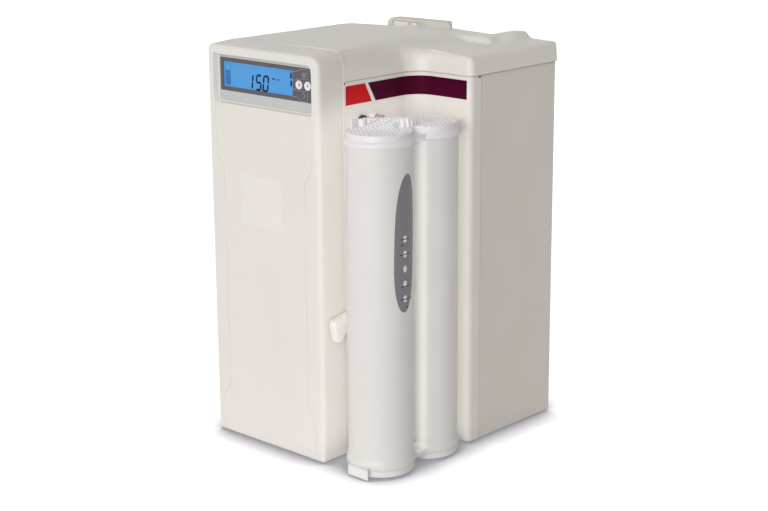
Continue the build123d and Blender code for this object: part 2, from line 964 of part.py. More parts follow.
with BuildPart() as rear_screws:
    drum(
        upright(cabinet_depth + screw_head_thickness),
        screw_places,
        screw_head_radius,
        screw_head_thickness,
    )
    drum(upright(cabinet_depth), screw_places, screw_shank_radius, wall)
save(rear_screws, "rear_screws")

# Base plate between the walls, on rubber feet
foot_places = [
    (foot_inset, frame_front + foot_inset),
    (inner_wall_x - foot_inset, frame_front + foot_inset),
    (foot_inset, cabinet_depth - foot_inset),
    (cabinet_width - foot_inset, cabinet_depth - foot_inset),
    (cabinet_width - foot_inset, recess_depth + foot_inset),
]
with BuildPart() as base_plate:
    with BuildSketch(level(base_lift)):
        add(cabinet_plan(wall, frame_front, cabinet_width, cabinet_depth))
    extrude(amount=base_thickness)
save(base_plate, "base_plate")

with BuildPart() as rubber_feet:
    drum(level(-foot_height), foot_places, foot_radius, foot_height + base_lift)
    chamfer(rubber_feet.faces().group_by(Axis.Z)[0].edges(), base_lift / 2)
save(rubber_feet, "rubber_feet")

# Front bulkhead and chassis plate that carry the inner parts
with BuildPart() as front_bulkhead:
    block(
        (wall, frame_front, base_top),
        (inner_wall_x, frame_front + bulkhead_thickness, bulkhead_height),
    )
save(front_bulkhead, "front_bulkhead")

with BuildPart() as chassis_plate:
    chassis_front = frame_front + bulkhead_thickness
    block((chassis_x, chassis_front, base_top), (chassis_right, chassis_back, chassis_height))
    block(
        (chassis_flange_left, chassis_front, base_top),
        (chassis_x, chassis_back, base_top + chassis_thickness),
    )
    drum(
        sideways(chassis_x),
        [(edi_port_y, edi_port_z)],
        grommet_radius,
        chassis_thickness,
        Mode.SUBTRACT,
    )
save(chassis_plate, "chassis_plate")

# Coloured stripes: thin films on the recess wall
with BuildPart() as stripe_red:
    with BuildSketch(sideways(front_block_width)):
        with BuildLine():
            Polyline(
                (stripe_red_front, stripe_bottom),
                (stripe_red_bottom_end, stripe_bottom),
                (stripe_red_top_end, stripe_top),
                (stripe_red_front, stripe_top),
                close=True,
            )
        make_face()
    extrude(amount=stripe_thickness)
save(stripe_red, "stripe_red")

stripe_plan = cabinet_plan(-stripe_thickness, frame_front, cabinet_width, cabinet_depth)
with BuildPart() as stripe_plum:
    with BuildSketch(level(stripe_bottom)):
        add(stripe_plan)
        add(outer_plan, mode=Mode.SUBTRACT)
        area((inner_wall_x, stripe_plum_top_start), (stripe_plum_end, strip_end), Mode.INTERSECT)
    extrude(amount=stripe_top - stripe_bottom)
    with BuildSketch(sideways(inner_wall_x)):
        with BuildLine():
            Polyline(
                (stripe_plum_top_start, stripe_bottom),
                (stripe_plum_bottom_start, stripe_bottom),
                (stripe_plum_top_start, stripe_top),
                close=True,
            )
        make_face()
    extrude(amount=wall + overrun, mode=Mode.SUBTRACT)
save(stripe_plum, "stripe_plum")

# Twin cartridge pack: tubes, media beds, caps and label
tube_places = {"pack_tube_front": pack_axes[0], "pack_tube_rear": pack_axes[1]}
for tube_name, tube_place in tube_places.items():
    with BuildPart() as pack_tube:
        with BuildSketch(level(pack_bottom_seat)):
            with Locations(tube_place):
                Circle(pack_tube_radius)
                Circle(pack_tube_radius - pack_tube_wall, mode=Mode.SUBTRACT)
        extrude(amount=pack_top_seat - pack_bottom_seat)
    save(pack_tube, tube_name)

with BuildPart() as pack_media:
    drum(
        level(pack_bottom_seat),
        pack_axes,
        pack_tube_radius - pack_tube_wall - pack_media_clearance,
        pack_media_top - pack_bottom_seat,
    )
save(pack_media, "pack_media")


def twin_disc(height, radius, thickness):
    """Two discs joined at the waist, in the open part."""
    with BuildSketch(level(height)) as outline:
        with Locations(*pack_axes):
            Circle(radius)
        with Locations((pack_axis_x, pack_middle_y)):
            Rectangle(pack_waist_width, pack_pitch)
    extrude(outline.sketch, amount=thickness)


with BuildPart() as pack_top_cap:
    twin_disc(pack_collar_base, pack_collar_radius, pack_collar_height)
    twin_disc(pack_neck_base, pack_neck_radius, pack_neck_height)
    block(
        (lug_inner_x, pack_middle_y - lug_length / 2, pack_collar_base + lug_rise),
        (lug_outer_x, pack_middle_y + lug_length / 2, pack_collar_base + lug_rise + lug_height),
    )
    block(
        (housing_x, socket_y - housing_width / 2, pack_neck_base),
        (housing_x + housing_length, socket_y + housing_width / 2, housing_top),
    )
    drum(level(pack_collar_base), pack_axes, pack_tube_radius, pack_seat_depth, Mode.SUBTRACT)
    drum(sideways(housing_x), [(socket_y, socket_z)], nozzle_radius, nozzle_seat, Mode.SUBTRACT)
save(pack_top_cap, "pack_top_cap")

with BuildPart() as pack_bottom_cap:
    twin_disc(0, pack_ring_radius, pack_ring_height)
    twin_disc(pack_ring_height, pack_collar_radius, pack_flare_height)
    block(
        (lug_inner_x, pack_middle_y - lug_length / 2, lug_rise),
        (lug_outer_x, pack_middle_y + lug_length / 2, lug_rise + lug_height),
    )
    block((tab_left, -tab_reach, 0), (tab_right, tab_thickness - tab_reach, tab_height))
    block(
        (tab_middle - tab_web_width / 2, tab_thickness - tab_reach, 0),
        (tab_middle + tab_web_width / 2, pack_first_y, tab_height),
    )
    tongue_tip = front_block_width + bracket_back + tongue_tip_gap
    block(
        (tongue_tip, pack_middle_y - tongue_width / 2, tongue_bottom),
        (pack_axis_x, pack_middle_y + tongue_width / 2, tongue_top),
    )
    drum(level(pack_bottom_seat), pack_axes, pack_tube_radius, pack_seat_depth, Mode.SUBTRACT)
save(pack_bottom_cap, "pack_bottom_cap")

with BuildPart() as pack_label:
    label_plane = Plane(level(0).from_local_coords(pack_axes[0] + (0,)), x_dir=(1, 0, 0), z_dir=(0, 0, 1))
    with BuildSketch(label_plane.offset(grip_label_bottom)):
        Circle(pack_tube_radius + grip_label_thickness)
        Circle(pack_tube_radius, mode=Mode.SUBTRACT)
    extrude(amount=grip_label_top - grip_label_bottom)
    label_side = Plane(
        label_plane.origin,
        x_dir=Vector(0, 1, 0).rotate(Axis.Z, grip_label_angle),
        z_dir=Vector(1, 0, 0).rotate(Axis.Z, grip_label_angle),
    )
    with BuildSketch(label_side):
        with Locations((0, (grip_label_bottom + grip_label_top) / 2)):
            SlotOverall(grip_label_top - grip_label_bottom, grip_label_width, rotation=90)
    extrude(amount=pack_collar_radius, mode=Mode.INTERSECT)
save(pack_label, "pack_label")

# Bracket on the recess wall that takes the pack's tongue
with BuildPart() as pack_bracket:
    bracket_right = front_block_width + bracket_reach
    block(
        (front_block_width, pack_middle_y - bracket_width / 2, 0),
        (bracket_right, pack_middle_y + bracket_width / 2, bracket_height),
    )
    block(
        (
            front_block_width + bracket_back,
            pack_middle_y - tongue_width / 2 - slide_clearance,
            tongue_bottom - slide_clearance,
        ),
        (
            bracket_right,
            pack_middle_y + tongue_width / 2 + slide_clearance,
            tongue_top + slide_clearance,
        ),
        Mode.SUBTRACT,
    )
save(pack_bracket, "pack_bracket")

# Port socket in the recess wall, the nozzle on the pack and its sealing rings
socket_inner = inner_wall_x - socket_depth
nozzle_tip = socket_inner + nozzle_tip_gap
with BuildPart() as port_socket:
    drum(
        sideways(front_block_width),
        [(socket_y, socket_z)],
        socket_flange_radius,
        socket_flange_thickness,
    )
    drum(
        sideways(socket_inner),
        [(socket_y, socket_z)],
        socket_radius,
        front_block_width - socket_inner,
    )
    drum(
        sideways(socket_inner),
        [(socket_y, socket_z)],
        nozzle_radius + shaft_clearance,
        front_block_width + socket_flange_thickness - socket_inner,
        Mode.SUBTRACT,
    )
save(port_socket, "port_socket")

ring_centre = nozzle_radius - o_ring_section
ring_places = [nozzle_tip + o_ring_pitch, nozzle_tip + 2 * o_ring_pitch]
with BuildPart() as pack_nozzle:
    drum(sideways(nozzle_tip), [(socket_y, socket_z)], nozzle_radius, housing_x + nozzle_seat - nozzle_tip)
    drum(
        sideways(nozzle_tip),
        [(socket_y, socket_z)],
        nozzle_bore_radius,
        housing_x - nozzle_tip,
        Mode.SUBTRACT,
    )
    for ring_place in ring_places:
        with BuildSketch(sideways(ring_place - o_ring_section)):
            with Locations((socket_y, socket_z)):
                Circle(nozzle_radius)
                Circle(ring_centre - o_ring_section, mode=Mode.SUBTRACT)
        extrude(amount=2 * o_ring_section, mode=Mode.SUBTRACT)
save(pack_nozzle, "pack_nozzle")

with BuildPart() as pack_o_rings:
    for ring_place in ring_places:
        ring_axis = Axis((left + ring_place, front + socket_y, foot_height + socket_z), (1, 0, 0))
        with BuildSketch(level(socket_z)):
            with Locations((ring_place, socket_y + ring_centre)):
                Circle(o_ring_section)
        revolve(axis=ring_axis)
save(pack_o_rings, "pack_o_rings")

# Spare port beside the socket, closed by a quarter turn plug
spare_end = front_block_width + spare_reach
with BuildPart() as spare_port:
    drum(sideways(front_block_width), [(spare_y, spare_z)], spare_radius, spare_reach)
    drum(
        sideways(inner_wall_x - spare_shank_depth),
        [(spare_y, spare_z)],
        spare_shank_radius,
        wall + spare_shank_depth,
    )
    drum(
        sideways(spare_end - plug_stem_length - plug_gap),
        [(spare_y, spare_z)],
        plug_stem_radius + shaft_clearance,
        plug_stem_length + plug_gap,
        Mode.SUBTRACT,
    )
save(spare_port, "spare_port")

with BuildPart() as port_plug:
    plug_end = spare_end + plug_gap + plug_head_length
    drum(sideways(spare_end + plug_gap), [(spare_y, spare_z)], plug_head_radius, plug_head_length)
    drum(
        sideways(spare_end - plug_stem_length),
        [(spare_y, spare_z)],
        plug_stem_radius,
        plug_stem_length + plug_gap,
    )
    with BuildSketch(sideways(plug_end - plug_slot_depth)):
        with Locations((spare_y, spare_z)):
            Rectangle(2 * plug_head_radius, plug_slot_width)
    extrude(amount=plug_slot_depth, mode=Mode.SUBTRACT)
save(port_plug, "port_plug")

# Manifold block behind the ports
with BuildPart() as manifold:
    block(
        (inner_wall_x - manifold_thickness, manifold_front, manifold_bottom),
        (inner_wall_x, manifold_back, manifold_top),
    )
    drum(
        sideways(socket_inner),
        [(socket_y, socket_z)],
        socket_radius + shaft_clearance,
        socket_depth,
        Mode.SUBTRACT,
    )
    drum(
        sideways(inner_wall_x - spare_shank_depth),
        [(spare_y, spare_z)],
        spare_shank_radius + shaft_clearance,
        spare_shank_depth,
        Mode.SUBTRACT,
    )
save(manifold, "manifold")

# Side lever on its pin
lever_inner = front_block_width + lever_gap
with BuildPart() as side_lever:
    with BuildSketch(sideways(lever_inner)) as lever_shape:
        with Locations((lever_pivot_y, lever_pivot_z)):
            Circle(lever_hub_radius)
        with Locations((lever_end_y, lever_end_z)):
            Circle(lever_end_radius)
        make_hull()
    extrude(amount=lever_thickness)
    fillet(side_lever.faces().sort_by(Axis.X)[-1].edges(), lever_edge_radius)
    drum(
        sideways(lever_inner),
        [(lever_pivot_y, lever_pivot_z)],
        lever_pin_radius + shaft_clearance,
        lever_thickness,
        Mode.SUBTRACT,
    )
save(side_lever, "side_lever")

with BuildPart() as lever_pin:
    pin_inner = inner_wall_x - lever_pin_nut
    pin_outer = lever_inner + lever_thickness + slide_clearance
    drum(sideways(pin_inner), [(lever_pivot_y, lever_pivot_z)], lever_pin_radius, pin_outer - pin_inner)
    drum(sideways(pin_outer), [(lever_pivot_y, lever_pivot_z)], lever_pin_head_radius, lever_pin_head)
    drum(sideways(pin_inner), [(lever_pivot_y, lever_pivot_z)], lever_pin_head_radius, lever_pin_nut)
save(lever_pin, "lever_pin")

# Pump: rubber mounts, cradle, motor and head
cradle_front = pump_front + cradle_margin
cradle_places = [
    (pump_x - cradle_width / 2 + mount_inset, cradle_front + mount_inset),
    (pump_x - cradle_width / 2 + mount_inset, pump_back - mount_inset),
    (pump_x + cradle_width / 2 - mount_inset, cradle_front + mount_inset),
    (pump_x + cradle_width / 2 - mount_inset, pump_back - mount_inset),
]
motor_front = pump_front + pump_head_length
with BuildPart() as pump_mounts:
    drum(level(base_top), cradle_places, mount_radius, mount_height)
save(pump_mounts, "pump_mounts")

with BuildPart() as pump_cradle:
    cradle_bottom = base_top + mount_height
    block(
        (pump_x - cradle_width / 2, cradle_front, cradle_bottom),
        (pump_x + cradle_width / 2, pump_back, pump_bottom),
    )
    for saddle_front in (motor_front + saddle_length, pump_back - 2 * saddle_length):
        block(
            (pump_x - saddle_width / 2, saddle_front, pump_bottom),
            (pump_x + saddle_width / 2, saddle_front + saddle_length, pump_bottom + saddle_height),
        )
    drum(
        upright(pump_back),
        [(pump_x, pump_z)],
        pump_motor_radius + shaft_clearance,
        pump_back - motor_front,
        Mode.SUBTRACT,
    )
save(pump_cradle, "pump_cradle")

with BuildPart() as pump_motor:
    drum(upright(pump_back), [(pump_x, pump_z)], pump_motor_radius, pump_motor_length)
save(pump_motor, "pump_motor")

with BuildPart() as pump_head:
    with BuildSketch(upright(motor_front)):
        with Locations((pump_x, pump_z)):
            RectangleRounded(pump_head_size, pump_head_size, pump_head_radius)
    extrude(amount=pump_head_length)
save(pump_head, "pump_head")


def pipe_clip(place, height, radius, reach, toward):
    """Open ring round an upright pipe with a foot that reaches to its seat, in the open part."""
    centre = level(height).from_local_coords((place[0], place[1], 0))
    with BuildSketch(Plane(centre, x_dir=toward, z_dir=(0, 0, 1))) as outline:
        Circle(radius + shaft_clearance + clip_thickness)
        Rectangle(reach, radius, align=(Align.MIN, Align.CENTER))
        Circle(radius + shaft_clearance, mode=Mode.SUBTRACT)
        Rectangle(reach, radius, align=(Align.MAX, Align.CENTER), mode=Mode.SUBTRACT)
    extrude(outline.sketch, amount=clip_height)


# Reverse osmosis stage: housing, end caps and membrane
with BuildPart() as ro_housing:
    with BuildSketch(level(ro_bottom)):
        with Locations((ro_x, ro_y)):
            Circle(ro_radius)
            Circle(ro_radius - ro_wall, mode=Mode.SUBTRACT)
    extrude(amount=ro_top - ro_bottom)
save(ro_housing, "ro_housing")

with BuildPart() as ro_membrane:
    drum(level(ro_bottom), [(ro_x, ro_y)], ro_membrane_radius, ro_top - ro_bottom)
save(ro_membrane, "ro_membrane")

with BuildPart() as ro_end_caps:
    drum(level(ro_bottom - ro_cap_height), [(ro_x, ro_y)], ro_cap_radius, ro_cap_height + ro_cap_lap)
    drum(level(ro_top - ro_cap_lap), [(ro_x, ro_y)], ro_cap_radius, ro_cap_height + ro_cap_lap)
    drum(
        upright(ro_y),
        [(ro_x + ro_stub_offset, permeate_hose_z)],
        ro_stub_radius,
        ro_y - ro_stub_front,
    )
    drum(level(ro_bottom), [(ro_x, ro_y)], ro_radius, ro_top - ro_bottom, Mode.SUBTRACT)
save(ro_end_caps, "ro_end_caps")

# Electric deionising stage: stack between two end plates, held by tie rods
edi_stack_left = edi_left + edi_plate_thickness
edi_stack_right = edi_stack_left + edi_stack_thickness
rod_places = [
    (depth, height)
    for depth in (edi_front + edi_rod_inset, edi_back - edi_rod_inset)
    for height in (edi_bottom + edi_rod_inset, (edi_bottom + edi_top) / 2, edi_top - edi_rod_inset)
]
with BuildPart() as edi_stack:
    block(
        (edi_stack_left, edi_front + edi_stack_inset, edi_bottom + edi_stack_inset),
        (edi_stack_right, edi_back - edi_stack_inset, edi_top - edi_stack_inset),
    )
save(edi_stack, "edi_stack")

with BuildPart() as edi_end_plates:
    block((edi_left, edi_front, edi_bottom), (edi_stack_left, edi_back, edi_top))
    block((edi_stack_right, edi_front, edi_bottom), (edi_right, edi_back, edi_top))
    drum(
        sideways(edi_left),
        rod_places,
        edi_rod_radius + shaft_clearance,
        edi_right - edi_left,
        Mode.SUBTRACT,
    )
save(edi_end_plates, "edi_end_plates")

with BuildPart() as edi_tie_rods:
    drum(sideways(chassis_right), rod_places, edi_rod_radius, edi_right - chassis_right)
    drum(sideways(chassis_right), rod_places, edi_nut_radius, edi_gap)
    drum(sideways(edi_right), rod_places, edi_nut_radius, edi_nut_length)
save(edi_tie_rods, "edi_tie_rods")

# Ultraviolet stage: reactor tube, caps and lamp
with BuildPart() as uv_reactor:
    with BuildSketch(level(uv_bottom)):
        with Locations((uv_x, uv_y)):
            Circle(uv_radius)
            Circle(uv_radius - uv_wall, mode=Mode.SUBTRACT)
    extrude(amount=uv_top - uv_bottom)
save(uv_reactor, "uv_reactor")

with BuildPart() as uv_lamp:
    drum(level(uv_bottom), [(uv_x, uv_y)], uv_lamp_radius, uv_top - uv_bottom)
save(uv_lamp, "uv_lamp")

with BuildPart() as uv_caps:
    drum(level(uv_bottom - uv_cap_height), [(uv_x, uv_y)], uv_cap_radius, uv_cap_height + uv_cap_lap)
    drum(level(uv_top - uv_cap_lap), [(uv_x, uv_y)], uv_cap_radius, uv_cap_height + uv_cap_lap)
    drum(level(uv_bottom), [(uv_x, uv_y)], uv_radius, uv_top - uv_bottom, Mode.SUBTRACT)
save(uv_caps, "uv_caps")

# Clips that hold the membrane housing to the chassis and the reactor to the rear panel
with BuildPart() as pipe_clips:
    for clip_z in (ro_clip_low, ro_clip_high):
        pipe_clip((ro_x, ro_y), clip_z, ro_radius, chassis_x - ro_x, (1, 0, 0))
    for clip_z in (uv_clip_low, uv_clip_high):
        pipe_clip((uv_x, uv_y), clip_z, uv_radius, rear_inside - uv_y, (0, 1, 0))
save(pipe_clips, "pipe_clips")

# Power supply: vented metal box on the chassis
with BuildPart() as power_supply:
    supply_right = chassis_right + supply_width
    block((chassis_right, supply_front, supply_bottom), (supply_right, supply_back, supply_top))
    vent_step = (supply_back - supply_front - 2 * supply_vent_margin) / (supply_vent_count - 1)
    with BuildSketch(sideways(supply_right - supply_vent_depth)):
        for vent in range(supply_vent_count):
            vent_y = supply_front + supply_vent_margin + vent * vent_step
            with Locations((vent_y, (supply_bottom + supply_top) / 2)):
                Rectangle(supply_vent_width, supply_top - supply_bottom - 2 * supply_vent_margin)
    extrude(amount=supply_vent_depth, mode=Mode.SUBTRACT)
save(power_supply, "power_supply")

# Control board on standoffs, with relays and a heat sink
control_x = chassis_right + control_standoff
with BuildPart() as control_board:
    block(
        (control_x, control_front, control_bottom),
        (control_x + board_thickness, control_back, control_top),
    )
    standoff_places = [
        (depth, height)
        for depth in (control_front + control_standoff_inset, control_back - control_standoff_inset)
        for height in (control_bottom + control_standoff_inset, control_top - control_standoff_inset)
    ]
    drum(sideways(chassis_right), standoff_places, control_standoff_radius, control_standoff)
    control_middle = (control_front + control_back) / 2
    with BuildSketch(sideways(control_x + board_thickness)):
        for relay in range(relay_count):
            relay_z = control_bottom + relay_pitch * (relay + 1)
            with Locations((control_front + relay_pitch, relay_z)):
                Rectangle(relay_size, relay_size)
        with Locations((control_middle + relay_pitch, control_top - relay_pitch - heat_sink_height)):
            Rectangle(heat_sink_width, heat_sink_height)
    extrude(amount=relay_height)
save(control_board, "control_board")


def hose(name, points, bend):
    """Round tube of the hose size along straight runs joined by bends."""
    with BuildPart() as tube:
        with BuildLine(level(0)) as route:
            FilletPolyline(*points, radius=bend)
        with BuildSketch(Plane(route.line @ 0, z_dir=route.line % 0)):
            Circle(hose_radius)
        sweep(path=route.line)
    save(tube, name)


# Inner hoses between the valve, the pump, the membrane and the deionising stage
valve_front = rear_inside - fitting_hex_thickness - valve_length
pump_head_right = pump_x + pump_head_size / 2
hose(
    "feed_tube",
    [
        (hose_side_x, valve_front, hose_side_z),
        (hose_side_x, hose_port_y, hose_side_z),
        (pump_head_right, hose_port_y, hose_side_z),
    ],
    feed_bend_share * (hose_side_x - pump_head_right),
)
hose(
    "pump_tube",
    [
        (pump_hose_x, hose_port_y, pump_z + pump_head_size / 2),
        (pump_hose_x, hose_port_y, pump_hose_height),
        (pump_hose_x, ro_y, pump_hose_height),
        (pump_hose_x, ro_y, ro_top + ro_cap_height),
    ],
    pump_hose_bend,
)
hose(
    "permeate_tube",
    [
        (edi_left, edi_port_y, edi_port_z),
        (permeate_hose_x, edi_port_y, edi_port_z),
        (permeate_hose_x, edi_port_y, permeate_hose_z),
        (permeate_hose_x, ro_stub_front, permeate_hose_z),
    ],
    permeate_bend,
)

# Feed valve with its coil, behind the feed fitting
with BuildPart() as feed_valve:
    block(
        (hose_side_x - valve_size / 2, valve_front, fitting_z - valve_size / 2),
        (hose_side_x + valve_size / 2, valve_front + valve_length, fitting_z + valve_size / 2),
    )
    coil_bottom = fitting_z + valve_size / 2
    coil_middle = valve_front + valve_length / 2
    block(
        (hose_side_x - coil_width / 2, coil_middle - coil_length / 2, coil_bottom),
        (hose_side_x + coil_width / 2, coil_middle + coil_length / 2, coil_bottom + coil_height),
    )
save(feed_valve, "feed_valve")

# Water fittings through the rear panel, each with a bore for a push-in tube
with BuildPart() as rear_fittings:
    with BuildSketch(upright(cabinet_depth + fitting_hex_thickness)):
        with Locations(*fitting_places):
            RegularPolygon(fitting_hex_radius, 6)
    extrude(amount=fitting_hex_thickness)
    with BuildSketch(upright(rear_inside)):
        with Locations(*fitting_places):
            RegularPolygon(fitting_hex_radius, 6)
    extrude(amount=fitting_hex_thickness)
    drum(upright(cabinet_depth), fitting_places, fitting_shank_radius, wall)
    drum(upright(cabinet_depth + fitting_reach), fitting_places, fitting_collet_radius, fitting_reach)
    drum(
        upright(cabinet_depth + fitting_reach),
        fitting_places,
        fitting_bore_radius,
        fitting_bore_depth,
        Mode.SUBTRACT,
    )
save(rear_fittings, "rear_fittings")

# Power inlet with its switch bed, contact pins and rocker
with BuildPart() as power_inlet:
    inlet_outer = cabinet_depth + inlet_flange_thickness
    with BuildSketch(upright(inlet_outer)):
        with Locations((inlet_x, inlet_z)):
            RectangleRounded(inlet_flange_width, inlet_flange_height, inlet_corner)
    extrude(amount=inlet_flange_thickness)
    with BuildSketch(upright(cabinet_depth)):
        with Locations((inlet_x, inlet_z)):
            Rectangle(inlet_body_width, inlet_body_height)
    extrude(amount=inlet_body_depth)
    with BuildSketch(upright(inlet_outer)):
        with Locations((inlet_x, inlet_socket_z)):
            RectangleRounded(inlet_socket_width, inlet_socket_height, inlet_corner)
    extrude(amount=inlet_socket_depth, mode=Mode.SUBTRACT)
    rocker_left = inlet_x - rocker_width / 2
    drum(
        sideways(rocker_left - slide_clearance),
        [(rocker_y, rocker_z)],
        rocker_radius + slide_clearance,
        rocker_width + 2 * slide_clearance,
        Mode.SUBTRACT,
    )
    drum(
        sideways(rocker_left - rocker_pivot_length - slide_clearance),
        [(rocker_y, rocker_z)],
        rocker_pivot_radius + shaft_clearance,
        rocker_width + 2 * rocker_pivot_length + 2 * slide_clearance,
        Mode.SUBTRACT,
    )
save(power_inlet, "power_inlet")

with BuildPart() as inlet_pins:
    pin_floor = inlet_outer - inlet_socket_depth
    pin_places = [
        (inlet_x - pin_pitch, inlet_socket_z - pin_rise),
        (inlet_x, inlet_socket_z + pin_rise),
        (inlet_x + pin_pitch, inlet_socket_z - pin_rise),
    ]
    with BuildSketch(upright(pin_floor + pin_length)):
        with Locations(*pin_places):
            Rectangle(pin_width, pin_height)
    extrude(amount=pin_length)
save(inlet_pins, "inlet_pins")

with BuildPart() as power_rocker:
    drum(sideways(rocker_left), [(rocker_y, rocker_z)], rocker_radius, rocker_width)
    with BuildSketch(sideways(rocker_left)):
        with BuildLine():
            rocker_rise_at_edge = rocker_radius * rocker_tilt_share
            Polyline(
                (rocker_y + rocker_face, rocker_z),
                (rocker_y + rocker_face + rocker_rise_at_edge, rocker_z + rocker_radius),
                (rocker_y + 2 * rocker_radius, rocker_z + rocker_radius),
                (rocker_y + 2 * rocker_radius, rocker_z - rocker_radius),
                (rocker_y + rocker_face + rocker_rise_at_edge, rocker_z - rocker_radius),
                close=True,
            )
        make_face()
    extrude(amount=rocker_width, mode=Mode.SUBTRACT)
    drum(
        sideways(rocker_left - rocker_pivot_length),
        [(rocker_y, rocker_z)],
        rocker_pivot_radius,
        rocker_width + 2 * rocker_pivot_length,
    )
save(power_rocker, "power_rocker")
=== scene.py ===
import json
import math
import bmesh
import bpy
import numpy as np
from mathutils import Matrix, Vector


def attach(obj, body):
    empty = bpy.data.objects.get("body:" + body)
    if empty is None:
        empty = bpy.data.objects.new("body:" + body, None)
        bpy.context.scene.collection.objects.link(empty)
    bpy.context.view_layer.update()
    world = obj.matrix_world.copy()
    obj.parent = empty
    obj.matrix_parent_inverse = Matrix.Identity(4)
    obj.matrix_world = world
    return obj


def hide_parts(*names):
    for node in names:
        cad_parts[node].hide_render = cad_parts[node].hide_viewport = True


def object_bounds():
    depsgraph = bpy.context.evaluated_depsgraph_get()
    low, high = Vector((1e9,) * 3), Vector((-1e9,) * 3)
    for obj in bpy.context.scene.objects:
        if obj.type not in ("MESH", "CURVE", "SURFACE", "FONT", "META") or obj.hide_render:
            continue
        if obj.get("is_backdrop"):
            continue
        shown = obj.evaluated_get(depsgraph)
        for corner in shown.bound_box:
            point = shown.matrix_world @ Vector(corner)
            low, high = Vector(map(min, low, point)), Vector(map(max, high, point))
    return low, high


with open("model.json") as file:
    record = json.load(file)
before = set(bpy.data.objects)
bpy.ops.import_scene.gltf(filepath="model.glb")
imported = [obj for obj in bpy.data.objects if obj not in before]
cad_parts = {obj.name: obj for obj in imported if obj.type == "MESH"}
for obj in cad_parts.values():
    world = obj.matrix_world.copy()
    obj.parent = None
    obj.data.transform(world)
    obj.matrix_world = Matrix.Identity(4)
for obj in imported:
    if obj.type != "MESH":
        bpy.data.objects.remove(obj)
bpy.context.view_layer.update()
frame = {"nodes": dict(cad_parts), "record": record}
print("frame loaded")

cabinetCorner = np.array([-157.8, -188.9, 3])   # front left bottom corner of the cabinet in the frame, mm
quarter = math.pi / 2


def toFrame(points):   # cabinet millimetres to frame metres
    return (np.asarray(points, float) + cabinetCorner) / 1000


def linear(hexColour):   # sRGB hex to linear colour with alpha
    channels = [int(hexColour[i:i + 2], 16) / 255 for i in (1, 3, 5)]
    return tuple(c / 12.92 if c <= 0.04045 else ((c + 0.055) / 1.055) ** 2.4 for c in channels) + (1,)


def addObject(name, data):   # an object in the scene
    thing = bpy.data.objects.new(name, data)
    bpy.context.scene.collection.objects.link(thing)
    return thing


def addNode(tree, kind, inputs=None, **settings):   # a shader node with its settings, values and links
    node = tree.nodes.new("ShaderNode" + kind)
    for key, value in settings.items():
        setattr(node, key, value)
    for key, value in (inputs or {}).items():
        if isinstance(value, bpy.types.NodeSocket):
            tree.links.new(value, node.inputs[key])
        else:
            node.inputs[key].default_value = value
    return node


def newMaterial(name, **values):   # a principled material with constant values on its shader
    material = bpy.data.materials.new(name)
    material.use_nodes = True
    tree = material.node_tree
    shader = tree.nodes["Principled BSDF"]
    for key, value in values.items():
        shader.inputs[key.replace("_", " ")].default_value = value
    return material, tree, shader


finish = dict(driftScale=14, tintStops=(0.3, 0.7), glossSpread=0.06, lineSpread=0.08, bump=0.25)


def mouldedPlastic(name, colour, shade, roughness, specular=0.5, grainMm=0.9, depthMm=0.03):
    # moulded plastic: spark-eroded grain gives a satin sheen, slow drift of tone keeps it from looking flat
    material, tree, shader = newMaterial(name, IOR=1.53, Specular_IOR_Level=specular)
    coords = addNode(tree, "TexCoord").outputs["Object"]
    drift = addNode(tree, "TexNoise", {"Vector": coords, "Scale": finish["driftScale"], "Detail": 3})
    tint = addNode(tree, "ValToRGB", {"Fac": drift.outputs["Fac"]})
    for stop, spot, tone in zip(tint.color_ramp.elements, finish["tintStops"], (shade, colour)):
        stop.position = spot
        stop.color = linear(tone)
    grain = addNode(tree, "TexNoise", {"Vector": coords, "Scale": 1000 / grainMm / 2, "Detail": 2})
    gloss = addNode(tree, "MapRange", {"Value": grain.outputs["Fac"],
                                       "To Min": roughness - finish["glossSpread"],
                                       "To Max": roughness + finish["glossSpread"]})
    bump = addNode(tree, "Bump", {"Height": grain.outputs["Fac"], "Strength": finish["bump"],
                                  "Distance": depthMm / 1000})
    tree.links.new(tint.outputs["Color"], shader.inputs["Base Color"])
    tree.links.new(gloss.outputs["Result"], shader.inputs["Roughness"])
    tree.links.new(bump.outputs["Normal"], shader.inputs["Normal"])
    return material


def workedMetal(name, colour, roughness, lineMm):
    # metal: fine stretched lines left by turning or rolling break up the reflections
    material, tree, shader = newMaterial(name, Base_Color=linear(colour), Metallic=1)
    coords = addNode(tree, "TexCoord").outputs["Object"]
    stretched = addNode(tree, "Mapping", {"Vector": coords, "Scale": (1, 1, 0.08)})
    lines = addNode(tree, "TexNoise", {"Vector": stretched.outputs["Vector"], "Scale": 1000 / lineMm / 2,
                                       "Detail": 3})
    gloss = addNode(tree, "MapRange", {"Value": lines.outputs["Fac"],
                                       "To Min": roughness - finish["lineSpread"],
                                       "To Max": roughness + finish["lineSpread"]})
    tree.links.new(gloss.outputs["Result"], shader.inputs["Roughness"])
    return material


